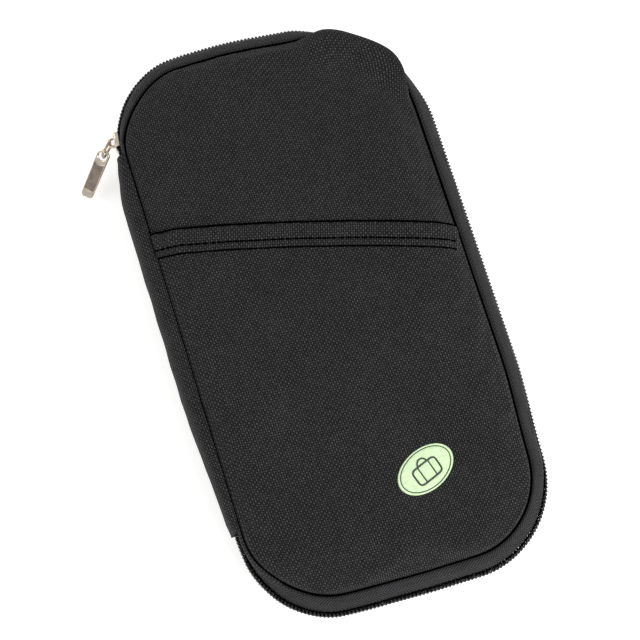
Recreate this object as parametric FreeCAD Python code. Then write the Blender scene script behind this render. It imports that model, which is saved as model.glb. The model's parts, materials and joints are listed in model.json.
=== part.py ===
import FreeCAD, Part

import math
import os

# Zip-around travel wallet in millimetres. It lies closed on its back cover: +Z up, +Y towards the
# end where the zipper slider parks, +X away from the spine. The origin is the middle of the face
# that the wallet lies on.

# Overall size
WIDTH_RIGHT = 65.0            # zipper line on the opening side
WIDTH_LEFT = -60.0            # zipper line at the two ends of the spine
HALF_LENGTH = 117.5
THICKNESS = 25.0
MID_Z = THICKNESS / 2         # plane in which the two halves of the zipper meet
CORNER_RIGHT = 38.0
CORNER_LEFT = 30.0

# Covers, as padded boards inside the zipper's gusset
COVER_LEFT = -57.5
COVER_RIGHT = 58.2
COVER_HALF_LENGTH = 110.3
COVER_CORNER_LEFT = 27.0
COVER_CORNER_RIGHT = 31.5
CLOTH = 0.6
BACK_RISE = 4.4               # from the resting face to the seam
FRONT_RISE = 3.2
BACK_EDGE_RADIUS = 3.4
FRONT_EDGE_RADIUS = 2.6
FOAM_STEP = 1.0               # the foam stands this far out of the cloth shell, towards the inside
LINING = 0.4
LINING_INSET = 2.0
FRONT_FACE_Z = THICKNESS - 2 * CLOTH   # the pocket panel and its hem lie on this face

# Zipper: distances inwards from the zipper line, and up or down from MID_Z
COIL_DEPTH = 2.0
COIL_GAP = 0.7                # half the channel that the slider's post runs in
COIL_EDGE = 2.7
TAPE_OUTER = 0.8
TAPE_THICK = 0.7
TAPE_BEND = 4.6
TAPE_SEAM = 8.4
TAPE_REACH = 6.7
END_ANGLE = 37.0              # the front half's fixed ends reach this far round the corner
END_GAP = 3.0                 # and its moving part starts this much further
SPINE_TOP_Y = 82.0
SPINE_BOTTOM_Y = -76.0

# Spine strip
SPINE_X = -65.0
SPINE_FOOT_Z = 4.4
SPINE_HEAD_Z = 20.0
SPINE_RADIUS = 8.2

# Slider and pull
SLIDER_ANGLE = 174.5          # where it parks, round the left end corner
SLIDER_HALF_ARC = 6.6
SLIDER_HALF_WIDTH = 4.0
SLIDER_PLATE = 1.2
SLIDER_PLAY = 0.4
FLANGE = 0.9
FLANGE_DEPTH = 0.7
INNER_RAIL = 0.5
POST_HALF = 0.35
POST_ARC = 4.0
BRIDGE_HALF_ARC = 3.0
BRIDGE_FOOT_ARC = 1.2
BRIDGE_HALF_WIDTH = 1.1
BRIDGE_GAP = 1.4
BRIDGE_BAR = 1.0
WIRE = 0.5
LINK_LENGTH = 6.1
LINK_HALF_HEIGHT = 3.05
LINK_BEND = 1.2
PULL_HEADING = 225.0
PULL_SLOPE = 33.0
TAB_LENGTH = 18.75            # from the hole's centre to the tip
TAB_HALF_WIDTH = 2.8
TAB_THICK = 1.2
TAB_HOLE = 1.8

# Slanted slip pocket on the front
MOUTH_LEFT = (-60.0, 46.4)
MOUTH_MIDDLE = (0.0, 31.8)
MOUTH_RIGHT = (60.0, 13.0)
HEM_WIDTH = 9.0
POCKET_INSET = 2.7
LABEL_CENTRE = (16.6, -74.3)
LABEL_LENGTH = 25.5
LABEL_WIDTH = 17.7
LABEL_TILT = 20.0

# Inside of the front cover
CARD_LEFT, CARD_RIGHT = -42.0, 46.0
CARD_BOTTOM = -32.0
CARD_TOP = 34.0
CARD_STEP = 13.0
CARD_COUNT = 4
SHEET = 0.45
ID_BOTTOM, ID_TOP = -98.0, -36.0
ID_BORDER = 8.0
FILM = 0.3
COIN_LEFT, COIN_RIGHT = -42.0, 44.0
COIN_BOTTOM, COIN_TOP = 41.0, 98.0
COIN_DEPTH = 1.8
COIN_ZIP_Y = 86.0
COIN_TAPE = 5.0
COIN_COIL = 1.3
COIN_CHANNEL = 0.6
COIN_ZIP_INSET = 5.0
COIN_SLIDER_X = -33.0
COIN_SLIDER_HALF = (3.6, 3.2)
COIN_PLATE = 0.7
COIN_PLAY = 0.25
COIN_BRIDGE_GAP = 1.3
COIN_PULL_LENGTH = 9.3        # short enough to turn over inside the closed wallet
COIN_PULL_HALF_WIDTH = 2.0
COIN_PIN = 0.4
COIN_ARM = 0.8
COIN_ARM_ROOM = 0.9
COIN_BRIDGE_BAR = 0.8
COIN_BRIDGE_REACH = 2.0

# Inside of the back cover
POCKET_SIDE_INSET = 4.5
TICKET_TOP = 62.0
PASSPORT_TOP = 12.0
BINDING_WIDTH = 5.0

Z_AXIS = FreeCAD.Vector(0, 0, 1)
LEFT_CENTRE_X = WIDTH_LEFT + CORNER_LEFT
LEFT_CENTRE_Y = HALF_LENGTH - CORNER_LEFT
RIGHT_CENTRE_X = WIDTH_RIGHT - CORNER_RIGHT
RIGHT_CENTRE_Y = HALF_LENGTH - CORNER_RIGHT
FRONT_LINING_Z = FRONT_FACE_Z - FRONT_RISE - FOAM_STEP - LINING
BACK_LINING_Z = BACK_RISE + FOAM_STEP + LINING


def vec(x, y, z=0.0):
    return FreeCAD.Vector(x, y, z)


def arc_edge(centre_x, centre_y, radius, start_deg, end_deg, z):
    """An arc of a level circle, from one angle to the other."""
    points = []
    for angle in (start_deg, (start_deg + end_deg) / 2, end_deg):
        a = math.radians(angle)
        points.append(vec(centre_x + radius * math.cos(a), centre_y + radius * math.sin(a), z))
    return Part.Arc(*points).toShape()


def rounded_block(left, right, bottom, top, radii, low, high):
    """A block with round corners in plan: radii holds the left pair's radius and the right pair's."""
    r_left, r_right = radii
    edges = [
        Part.makeLine(vec(left + r_left, bottom, low), vec(right - r_right, bottom, low)),
        arc_edge(right - r_right, bottom + r_right, r_right, -90, 0, low),
        Part.makeLine(vec(right, bottom + r_right, low), vec(right, top - r_right, low)),
        arc_edge(right - r_right, top - r_right, r_right, 0, 90, low),
        Part.makeLine(vec(right - r_right, top, low), vec(left + r_left, top, low)),
        arc_edge(left + r_left, top - r_left, r_left, 90, 180, low),
        Part.makeLine(vec(left, top - r_left, low), vec(left, bottom + r_left, low)),
        arc_edge(left + r_left, bottom + r_left, r_left, 180, 270, low),
    ]
    return Part.Face(Part.Wire(edges)).extrude(vec(0, 0, high - low))


def box(left, right, bottom, top, low, high):
    return Part.makeBox(right - left, top - bottom, high - low, vec(left, bottom, low))


def cover_block(inset, low, high):
    """The covers' plan, inset evenly, between two heights."""
    return rounded_block(
        COVER_LEFT + inset,
        COVER_RIGHT - inset,
        -COVER_HALF_LENGTH + inset,
        COVER_HALF_LENGTH - inset,
        (COVER_CORNER_LEFT - inset, COVER_CORNER_RIGHT - inset),
        low,
        high,
    )


def round_bottom(shape, radius):
    """Rounds the edge where the lowest face meets the sides."""
    floor = shape.BoundBox.ZMin
    edges = [e for e in shape.Edges if e.BoundBox.ZMax - floor < 1e-6]
    return shape.makeFillet(radius, edges)


def cover_layers(rise, edge_radius):
    """Cloth shell, foam board and lining of a cover that lies with its outer face down on z = 0."""
    outside = round_bottom(cover_block(0, 0, rise), edge_radius)
    filling = round_bottom(cover_block(CLOTH, CLOTH, rise), edge_radius - CLOTH)
    cloth = outside.cut(filling)
    foam = filling.fuse(cover_block(FOAM_STEP, rise, rise + FOAM_STEP)).removeSplitter()
    lining_low = rise + FOAM_STEP
    lining = cover_block(LINING_INSET, lining_low, lining_low + LINING)
    return {"outer_fabric": cloth, "foam_board": foam, "lining": lining}


def turned_over(shape, top):
    """The shape mirrored in z, so that its lowest face, at z = 0, comes to lie at the height top."""
    return shape.mirror(vec(0, 0, top / 2), Z_AXIS)


def section(profile, base, outward):
    """A profile of (distance inwards, height) points, stood up across the zipper line."""
    points = [vec(base[0] - outward[0] * u, base[1] - outward[1] * u, z) for u, z in profile]
    return Part.Face(Part.makePolygon(points + [points[0]]))


def corner_run(profile, centre, radius, start_deg, end_deg):
    """The profile swept round a corner of the zipper line."""
    a = math.radians(start_deg)
    outward = (math.cos(a), math.sin(a))
    base = (centre[0] + radius * outward[0], centre[1] + radius * outward[1])
    face = section(profile, base, outward)
    return face.revolve(vec(centre[0], centre[1]), Z_AXIS, end_deg - start_deg)


def straight_run(profile, start, end):
    """The profile swept along a straight stretch, which goes clockwise round the wallet."""
    length = math.dist(start, end)
    along = ((end[0] - start[0]) / length, (end[1] - start[1]) / length)
    outward = (-along[1], along[0])
    face = section(profile, start, outward)
    return face.extrude(vec(end[0] - start[0], end[1] - start[1]))


def joined(shapes):
    return shapes[0].multiFuse(shapes[1:]).removeSplitter()


def open_rim(profile, skipped):
    """The zipper line round three sides, starting and ending at the angle skipped past the spine."""
    left, right = (LEFT_CENTRE_X, LEFT_CENTRE_Y), (RIGHT_CENTRE_X, RIGHT_CENTRE_Y)
    return [
        corner_run(profile, left, CORNER_LEFT, 180 - skipped, 90),
        straight_run(profile, (LEFT_CENTRE_X, HALF_LENGTH), (RIGHT_CENTRE_X, HALF_LENGTH)),
        corner_run(profile, right, CORNER_RIGHT, 90, 0),
        straight_run(profile, (WIDTH_RIGHT, RIGHT_CENTRE_Y), (WIDTH_RIGHT, -RIGHT_CENTRE_Y)),
        corner_run(profile, (right[0], -right[1]), CORNER_RIGHT, 0, -90),
        straight_run(profile, (RIGHT_CENTRE_X, -HALF_LENGTH), (LEFT_CENTRE_X, -HALF_LENGTH)),
        corner_run(profile, (left[0], -left[1]), CORNER_LEFT, -90, -180 + skipped),
    ]


def top_end(profile):
    """The zipper line from the spine strip's upper end to END_ANGLE round the corner."""
    centre = (LEFT_CENTRE_X, LEFT_CENTRE_Y)
    return [
        straight_run(profile, (WIDTH_LEFT, SPINE_TOP_Y), (WIDTH_LEFT, LEFT_CENTRE_Y)),
        corner_run(profile, centre, CORNER_LEFT, 180, 180 - END_ANGLE),
    ]


def bottom_end(profile):
    """The same at the spine strip's lower end."""
    centre = (LEFT_CENTRE_X, -LEFT_CENTRE_Y)
    return [
        corner_run(profile, centre, CORNER_LEFT, -180 + END_ANGLE, -180),
        straight_run(profile, (WIDTH_LEFT, -LEFT_CENTRE_Y), (WIDTH_LEFT, SPINE_BOTTOM_Y)),
    ]


def coil_profile(side):
    """side is 1 for the front half of the zipper and -1 for the back half."""
    near, far = MID_Z + side * COIL_GAP, MID_Z + side * COIL_EDGE
    return [(0, near), (COIL_DEPTH, near), (COIL_DEPTH, far), (0, far)]


def tape_profile(side):
    """The tape stands straight beside the coil, then leans in to the cover's seam."""
    inner = TAPE_OUTER + TAPE_THICK
    points = [
        (TAPE_OUTER, COIL_EDGE),
        (TAPE_OUTER, TAPE_BEND),
        (TAPE_REACH - TAPE_THICK, TAPE_SEAM),
        (TAPE_REACH, TAPE_SEAM - TAPE_THICK),
        (inner, TAPE_BEND - TAPE_THICK / 2),
        (inner, COIL_EDGE),
    ]
    return [(u, MID_Z + side * dz) for u, dz in points]


def end_tape_profile(side):
    """The last of the tape by the spine, which is narrow."""
    inner = TAPE_OUTER + TAPE_THICK
    return [
        (TAPE_OUTER, MID_Z + side * COIL_EDGE),
        (TAPE_OUTER, MID_Z + side * TAPE_BEND),
        (inner, MID_Z + side * TAPE_BEND),
        (inner, MID_Z + side * COIL_EDGE),
    ]


def zipper_halves():
    """Coil and tape of both halves, and the two short ends of the front half that stay by the spine."""
    back_room = cover_block(0, 0, BACK_LINING_Z)
    front_room = cover_block(0, FRONT_LINING_Z, THICKNESS)
    front_start = END_ANGLE + END_GAP
    back_coil, front_coil = coil_profile(-1), coil_profile(1)
    back_end, front_end = end_tape_profile(-1), end_tape_profile(1)
    back_tape = open_rim(tape_profile(-1), END_ANGLE) + top_end(back_end) + bottom_end(back_end)
    whole_coil = top_end(back_coil) + open_rim(back_coil, END_ANGLE) + bottom_end(back_coil)
    return {
        "back_zipper_tape": joined(back_tape).cut(back_room),
        "back_zipper_coil": joined(whole_coil),
        "front_zipper_tape": joined(open_rim(tape_profile(1), front_start)).cut(front_room),
        "front_zipper_coil": joined(open_rim(front_coil, front_start)),
        "front_zipper_end_top": joined(top_end(front_coil) + top_end(front_end)),
        "front_zipper_end_bottom": joined(bottom_end(front_coil) + bottom_end(front_end)),
    }


def spine_strip():
    """A strip of cloth that bulges outwards between the covers' seams."""
    centre = vec(SPINE_X + SPINE_RADIUS, SPINE_BOTTOM_Y, MID_Z)
    points = []
    for z in (SPINE_FOOT_Z, MID_Z, SPINE_HEAD_Z):
        rise = z - MID_Z
        points.append(centre + vec(-math.sqrt(SPINE_RADIUS**2 - rise**2), 0, rise))
    shrink = (SPINE_RADIUS - CLOTH) / SPINE_RADIUS
    inner = [centre + (point - centre) * shrink for point in points]
    edges = [
        Part.Arc(*points).toShape(),
        Part.makeLine(points[2], inner[2]),
        Part.Arc(inner[2], inner[1], inner[0]).toShape(),
        Part.makeLine(inner[0], points[0]),
    ]
    face = Part.Face(Part.Wire(edges))
    return face.extrude(vec(0, SPINE_TOP_Y - SPINE_BOTTOM_Y, 0))


def below_mouth(drop, low, high):
    """Everything below the pocket's slightly bowed mouth line, moved down by drop."""
    points = [vec(x, y - drop, low) for x, y in (MOUTH_LEFT, MOUTH_MIDDLE, MOUTH_RIGHT)]
    base = -HALF_LENGTH - HEM_WIDTH
    corners = [vec(MOUTH_RIGHT[0], base, low), vec(MOUTH_LEFT[0], base, low)]
    edges = [
        Part.Arc(*points).toShape(),
        Part.makeLine(points[2], corners[0]),
        Part.makeLine(corners[0], corners[1]),
        Part.makeLine(corners[1], points[0]),
    ]
    return Part.Face(Part.Wire(edges)).extrude(vec(0, 0, high - low))


def front_pocket():
    """The slip pocket's panel, the hem along its mouth and the oval label sewn to it."""
    panel_top = FRONT_FACE_Z + CLOTH
    flat = cover_block(POCKET_INSET, FRONT_FACE_Z, panel_top)
    raised = cover_block(POCKET_INSET, panel_top, THICKNESS)
    hem = raised.common(below_mouth(0, panel_top, THICKNESS))
    oval = Part.Ellipse(vec(0, 0, 0), LABEL_LENGTH / 2, LABEL_WIDTH / 2).toShape()
    label = Part.Face(Part.Wire([oval])).extrude(vec(0, 0, CLOTH))
    label.Placement = FreeCAD.Placement(
        vec(*LABEL_CENTRE, panel_top), FreeCAD.Rotation(Z_AXIS, LABEL_TILT)
    )
    return {
        "slip_pocket_panel": flat.common(below_mouth(0, FRONT_FACE_Z, panel_top)),
        "slip_pocket_hem": hem.cut(below_mouth(HEM_WIDTH, panel_top, THICKNESS)),
        "badge_label": label,
    }


def card_slots():
    """Stepped card slots under the front cover, the shortest one innermost."""
    slots = {}
    for index in range(CARD_COUNT):
        high = FRONT_LINING_Z - index * SHEET
        top = CARD_TOP - index * CARD_STEP
        slot = box(CARD_LEFT, CARD_RIGHT, CARD_BOTTOM, top, high - SHEET, high)
        slots[f"card_slot_{index + 1}"] = slot
    return slots


def id_window():
    """A cloth frame with a clear film in it."""
    low = FRONT_LINING_Z - CLOTH
    outside = box(CARD_LEFT, CARD_RIGHT, ID_BOTTOM, ID_TOP, low, FRONT_LINING_Z)
    view = box(
        CARD_LEFT + ID_BORDER,
        CARD_RIGHT - ID_BORDER,
        ID_BOTTOM + ID_BORDER,
        ID_TOP - ID_BORDER,
        low,
        FRONT_LINING_Z,
    )
    bounds = view.BoundBox
    film = box(
        bounds.XMin, bounds.XMax, bounds.YMin, bounds.YMax, FRONT_LINING_Z - FILM, FRONT_LINING_Z
    )
    return {"id_window_frame": outside.cut(view), "id_window_film": film}


def coin_pocket():
    """A shallow cloth tray turned towards the inside, with a zipper across it."""
    low = FRONT_LINING_Z - COIN_DEPTH
    skin = low + CLOTH
    tray = box(COIN_LEFT, COIN_RIGHT, COIN_BOTTOM, COIN_TOP, low, FRONT_LINING_Z)
    hollow = box(
        COIN_LEFT + CLOTH,
        COIN_RIGHT - CLOTH,
        COIN_BOTTOM + CLOTH,
        COIN_TOP - CLOTH,
        skin,
        FRONT_LINING_Z,
    )
    left, right = COIN_LEFT + COIN_ZIP_INSET, COIN_RIGHT - COIN_ZIP_INSET
    slit_half = COIN_CHANNEL + COIN_COIL + COIN_TAPE
    slit = box(left, right, COIN_ZIP_Y - slit_half, COIN_ZIP_Y + slit_half, low, skin)
    tapes, coils = [], []
    for side in (-1, 1):
        reach = [COIN_CHANNEL, COIN_CHANNEL + COIN_COIL, slit_half]
        inner, edge, outer = [COIN_ZIP_Y + side * distance for distance in reach]
        coils.append(box(left, right, min(inner, edge), max(inner, edge), low, skin))
        tapes.append(box(left, right, min(edge, outer), max(edge, outer), low, skin))
    return {
        "coin_pocket_panel": tray.cut(hollow).cut(slit),
        "coin_zipper_tape": Part.makeCompound(tapes),
        "coin_zipper_coil": Part.makeCompound(coils),
    }


def coin_slider():
    """The coin pocket's slider: two plates and a post that straddle its coils, and a bridge below."""
    low = FRONT_LINING_Z - COIN_DEPTH
    half_x, half_y = COIN_SLIDER_HALF
    x0, x1 = COIN_SLIDER_X - half_x, COIN_SLIDER_X + half_x
    y0, y1 = COIN_ZIP_Y - half_y, COIN_ZIP_Y + half_y
    outer_top = low - COIN_PLAY
    outer_low = outer_top - COIN_PLATE
    inner_low = low + CLOTH + COIN_PLAY
    inner_top = inner_low + COIN_PLATE / 2
    bar_top = outer_low - COIN_BRIDGE_GAP
    bar_low = bar_top - COIN_BRIDGE_BAR
    b0, b1 = COIN_SLIDER_X - COIN_BRIDGE_REACH, COIN_SLIDER_X + COIN_BRIDGE_REACH
    w0, w1 = COIN_ZIP_Y - COIN_BRIDGE_BAR, COIN_ZIP_Y + COIN_BRIDGE_BAR
    return joined(
        [
            box(x0, x1, y0, y1, outer_low, outer_top),
            box(x0, x1, y0, y1, inner_low, inner_top),
            box(x0, x0 + 1.5, COIN_ZIP_Y - POST_HALF, COIN_ZIP_Y + POST_HALF, outer_low, inner_top),
            box(b0, b1, w0, w1, bar_low, bar_top),
            box(b0, b0 + COIN_BRIDGE_BAR, w0, w1, bar_low, outer_low),
            box(b1 - COIN_BRIDGE_BAR, b1, w0, w1, bar_low, outer_low),
        ]
    )


def coin_pull():
    """A short pull that lies flat under the coin slider: a pin in the bridge, two arms and a blade."""
    outer_low = FRONT_LINING_Z - COIN_DEPTH - COIN_PLAY - COIN_PLATE
    pin_z = outer_low - COIN_BRIDGE_GAP / 2
    z0, z1 = pin_z - COIN_PIN, pin_z + COIN_PIN
    width = COIN_PULL_HALF_WIDTH
    y0, y1 = COIN_ZIP_Y - width, COIN_ZIP_Y + width
    start = COIN_SLIDER_X - COIN_PIN
    blade_start = COIN_SLIDER_X + COIN_BRIDGE_REACH + COIN_ARM_ROOM
    pin = Part.makeCylinder(COIN_PIN, 2 * width, vec(COIN_SLIDER_X, y0, pin_z), vec(0, 1, 0))
    return joined(
        [
            pin,
            box(start, blade_start, y0, y0 + COIN_ARM, z0, z1),
            box(start, blade_start, y1 - COIN_ARM, y1, z0, z1),
            box(blade_start, start + COIN_PULL_LENGTH, y0, y1, z0, z1),
        ]
    )


def slider_part(u_from, u_to, dz_from, dz_to, start_deg, end_deg):
    """A block of the slider, bent round the corner that it parks on."""
    profile = [
        (u_from, MID_Z + dz_from),
        (u_to, MID_Z + dz_from),
        (u_to, MID_Z + dz_to),
        (u_from, MID_Z + dz_to),
    ]
    centre = (LEFT_CENTRE_X, LEFT_CENTRE_Y)
    return corner_run(profile, centre, CORNER_LEFT, start_deg, end_deg)


def zipper_slider():
    """Two plates joined by a post between the coils, with rails along their edges and a bridge."""
    half = SLIDER_HALF_WIDTH
    start, end = SLIDER_ANGLE + SLIDER_HALF_ARC, SLIDER_ANGLE - SLIDER_HALF_ARC
    face = -SLIDER_PLAY
    back = COIL_DEPTH + 1.5 * SLIDER_PLAY
    post_end = start - POST_ARC
    blocks = [
        slider_part(face - SLIDER_PLATE, face, -half, half, start, end),
        slider_part(back, back + SLIDER_PLATE, -half, half, start, end),
        slider_part(face - SLIDER_PLATE, back + SLIDER_PLATE, -POST_HALF, POST_HALF, start, post_end),
    ]
    for side in (-1, 1):
        edges = sorted((side * half, side * (half - FLANGE)))
        blocks.append(slider_part(face, face + FLANGE_DEPTH, *edges, start, end))
        blocks.append(slider_part(back - INNER_RAIL, back, *edges, start, end))
    top = face - SLIDER_PLATE
    bar = top - BRIDGE_GAP
    low, high = SLIDER_ANGLE - BRIDGE_HALF_ARC, SLIDER_ANGLE + BRIDGE_HALF_ARC
    width = BRIDGE_HALF_WIDTH
    blocks.append(slider_part(bar - BRIDGE_BAR, bar, -width, width, high, low))
    blocks.append(slider_part(bar, top, -width, width, high, high - BRIDGE_FOOT_ARC))
    blocks.append(slider_part(bar, top, -width, width, low + BRIDGE_FOOT_ARC, low))
    return joined(blocks)


def bridge_pin():
    """The point that the link turns about, in the middle of the bridge's gap."""
    radius = CORNER_LEFT + SLIDER_PLAY + SLIDER_PLATE + BRIDGE_GAP / 2
    a = math.radians(SLIDER_ANGLE)
    return vec(LEFT_CENTRE_X + radius * math.cos(a), LEFT_CENTRE_Y + radius * math.sin(a), MID_Z)


def heading():
    a = math.radians(PULL_HEADING)
    return vec(math.cos(a), math.sin(a), 0)


def pull_link():
    """A closed wire loop, upright, that joins the slider's bridge to the tab."""
    h, b = LINK_HALF_HEIGHT, LINK_BEND
    far = LINK_LENGTH
    bow = b * (1 - math.sqrt(0.5))

    def at(along, up):
        return bridge_pin() + heading() * along + vec(0, 0, up)

    def bend(start, middle, end):
        return Part.Arc(at(*start), at(*middle), at(*end)).toShape()

    edges = [
        Part.makeLine(at(0, -h + b), at(0, h - b)),
        bend((0, h - b), (bow, h - bow), (b, h)),
        Part.makeLine(at(b, h), at(far - b, h)),
        bend((far - b, h), (far - bow, h - bow), (far, h - b)),
        Part.makeLine(at(far, h - b), at(far, -h + b)),
        bend((far, -h + b), (far - bow, -h + bow), (far - b, -h)),
        Part.makeLine(at(far - b, -h), at(b, -h)),
        bend((b, -h), (bow, -h + bow), (0, -h + b)),
    ]
    path = Part.Wire(edges)
    ring = Part.Wire([Part.makeCircle(WIRE, at(0, -h + b), Z_AXIS)])
    return path.makePipeShell([ring], True, False)


def pull_tab():
    """A flat tab with a round hole at its head and a round tip, sloping down from the link."""
    tip = TAB_LENGTH - TAB_HALF_WIDTH
    body = box(0, tip, -TAB_HALF_WIDTH, TAB_HALF_WIDTH, -TAB_THICK / 2, TAB_THICK / 2)
    head = Part.makeCylinder(TAB_HALF_WIDTH, TAB_THICK, vec(0, 0, -TAB_THICK / 2))
    end = Part.makeCylinder(TAB_HALF_WIDTH, TAB_THICK, vec(tip, 0, -TAB_THICK / 2))
    hole = Part.makeCylinder(TAB_HOLE, TAB_THICK, vec(0, 0, -TAB_THICK / 2))
    tab = joined([body, head, end]).cut(hole)
    turn = FreeCAD.Rotation(Z_AXIS, PULL_HEADING)
    slope = FreeCAD.Rotation(vec(0, 1, 0), PULL_SLOPE)
    tab.Placement = FreeCAD.Placement(
        bridge_pin() + heading() * LINK_LENGTH, turn.multiply(slope)
    )
    return tab


def inner_pockets():
    """Ticket pocket, passport pocket and the binding on its mouth, on the back cover's lining."""
    inset = POCKET_SIDE_INSET
    reach = COVER_HALF_LENGTH
    layers = {}
    low = BACK_LINING_Z
    for name, top in (("ticket_pocket", TICKET_TOP), ("passport_pocket", PASSPORT_TOP)):
        sheet = cover_block(inset, low, low + SHEET)
        layers[name] = sheet.common(box(-reach, reach, -reach, top, low, low + SHEET))
        low += SHEET
    strip = box(-reach, reach, PASSPORT_TOP - BINDING_WIDTH, PASSPORT_TOP, low, low + SHEET)
    layers["passport_pocket_binding"] = cover_block(inset, low, low + SHEET).common(strip)
    return layers


def main():
    parts = {}
    for layer, shape in cover_layers(BACK_RISE, BACK_EDGE_RADIUS).items():
        parts[f"back_{layer}"] = shape
    for layer, shape in cover_layers(FRONT_RISE, FRONT_EDGE_RADIUS).items():
        parts[f"front_{layer}"] = turned_over(shape, FRONT_FACE_Z)
    parts.update(zipper_halves())
    parts["spine_strip"] = spine_strip()
    parts.update(front_pocket())
    parts.update(card_slots())
    parts.update(id_window())
    parts.update(coin_pocket())
    parts["coin_slider"] = coin_slider()
    parts["coin_pull"] = coin_pull()
    parts.update(inner_pockets())
    parts["slider"] = zipper_slider()
    parts["pull_link"] = pull_link()
    parts["pull_tab"] = pull_tab()

    os.makedirs("parts", exist_ok=True)
    for name, shape in parts.items():
        if not shape.isValid():
            print("invalid:", name)
        print(f"{name}: {len(shape.Solids)} solid, {shape.Volume:.0f} mm3")
        shape.exportStep(f"parts/{name}.step")


main()
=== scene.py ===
import json
import math

import bmesh
import bpy
import numpy as np
from mathutils import Matrix, Vector, noise
from mathutils.bvhtree import BVHTree


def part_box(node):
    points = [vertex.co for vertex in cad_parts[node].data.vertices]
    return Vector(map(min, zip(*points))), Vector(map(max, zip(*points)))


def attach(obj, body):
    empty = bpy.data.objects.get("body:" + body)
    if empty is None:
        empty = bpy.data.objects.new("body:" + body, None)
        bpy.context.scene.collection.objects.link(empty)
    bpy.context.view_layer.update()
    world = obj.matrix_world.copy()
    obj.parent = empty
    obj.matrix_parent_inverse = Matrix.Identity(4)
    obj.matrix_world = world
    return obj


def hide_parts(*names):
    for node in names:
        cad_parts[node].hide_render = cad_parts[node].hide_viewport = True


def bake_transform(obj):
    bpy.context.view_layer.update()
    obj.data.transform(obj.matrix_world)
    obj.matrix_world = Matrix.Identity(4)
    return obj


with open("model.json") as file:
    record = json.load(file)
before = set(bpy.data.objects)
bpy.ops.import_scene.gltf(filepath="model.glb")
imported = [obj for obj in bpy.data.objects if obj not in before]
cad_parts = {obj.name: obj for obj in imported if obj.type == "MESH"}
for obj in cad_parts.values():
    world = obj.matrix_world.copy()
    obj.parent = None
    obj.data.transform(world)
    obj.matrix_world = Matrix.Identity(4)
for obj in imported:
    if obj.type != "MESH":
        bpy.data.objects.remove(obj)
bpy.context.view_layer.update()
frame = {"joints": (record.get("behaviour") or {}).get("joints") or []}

# The script works in millimetres and turns them into metres where a mesh is made.
MM = 0.001


def node_box(name):
    """Lowest and highest corner of a CAD node, in millimetres."""
    low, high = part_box(name)
    return np.array(low) / MM, np.array(high) / MM


# ---------------------------------------------------------------- sizes, from the frame
front_low, front_high = node_box("front_outer_fabric")
back_low, back_high = node_box("back_outer_fabric")
coil_low, coil_high = node_box("back_zipper_coil")
spine_low, spine_high = node_box("spine_strip")
lining_low, lining_high = node_box("front_lining")
floor_lining_low, floor_lining_high = node_box("back_lining")

COVER_LEFT, COVER_RIGHT = front_low[0], front_high[0]
COVER_HALF = front_high[1]
FRONT_SEAM_Z, FRONT_FACE_Z = front_low[2], front_high[2]
BACK_SEAM_Z = back_high[2]
FRONT_LINING_Z = lining_low[2]
BACK_LINING_Z = floor_lining_high[2]
ZIP_LEFT, ZIP_RIGHT = coil_low[0], coil_high[0]
ZIP_HALF = coil_high[1]
MID_Z = 12.5
SPINE_X, SPINE_BOTTOM_Y, SPINE_TOP_Y = spine_low[0], spine_low[1], spine_high[1]
COVER_CORNER_LEFT, COVER_CORNER_RIGHT = 29.0, 31.5
ZIP_CORNER_LEFT, ZIP_CORNER_RIGHT = 30.0, 38.0

FAR_CORNER = (27.0, 79.5)      # centre of the upper right corner of the zipper line

CLOTH = 0.7
HEM_WIDTH = 9.0
INNER_INSET = 4.5             # the inner pockets' edges from the cover's outline
STITCH_UP = 2.7               # the hem's stitch line above its lower edge
COIL_PITCH = 1.5
SEAM_SINK = 0.9               # how deep the covers' seams lie between skin and tape


# ---------------------------------------------------------------- small maths
def smooth(t):
    t = np.clip(t, 0.0, 1.0)
    return t * t * (3 - 2 * t)


def waves(x, y, scale, seed):
    """Smooth noise from -1 to 1 with features about scale millimetres long, one value per point."""
    flat_x, flat_y = np.broadcast_arrays(np.asarray(x, float), np.asarray(y, float))
    values = [
        noise.noise(Vector((a / scale, b / scale, seed)))
        for a, b in zip(flat_x.ravel(), flat_y.ravel())
    ]
    return np.array(values).reshape(flat_x.shape)


def lean(x, y):
    """Where a point of the neat outline lies on the soft case: its corners are drawn in, and its ends sag."""
    x, y = np.asarray(x, float), np.asarray(y, float)
    right, upper, lower = smooth(x / 50), smooth((y - 55) / 50), smooth((-y - 40) / 45)
    left_top = 2.3 * smooth((y - 78) / 26) * smooth((-x - 20) / 32)
    left_low = 3.0 * smooth((-y - 76) / 28) * smooth((-x - 14) / 36)
    dx, dy = x - FAR_CORNER[0], y - FAR_CORNER[1]
    reach = np.maximum(np.hypot(dx, dy), 1e-6)
    turn = np.degrees(np.arctan2(dy, dx))
    drawn = 5.2 * smooth((reach - 27) / 11) * smooth((turn + 24) / 42) * smooth((102 - turn) / 30)
    new_x = x - 2.6 * right * lower + 0.7 * left_top + 0.75 * left_low - drawn * dx / reach
    new_y = y - 3.4 * smooth((x + 12) / 46) * upper - 0.7 * left_top + 0.55 * left_low - drawn * dy / reach
    return new_x, new_y - 0.7 * lower * smooth((x + 20) / 30)


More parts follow.
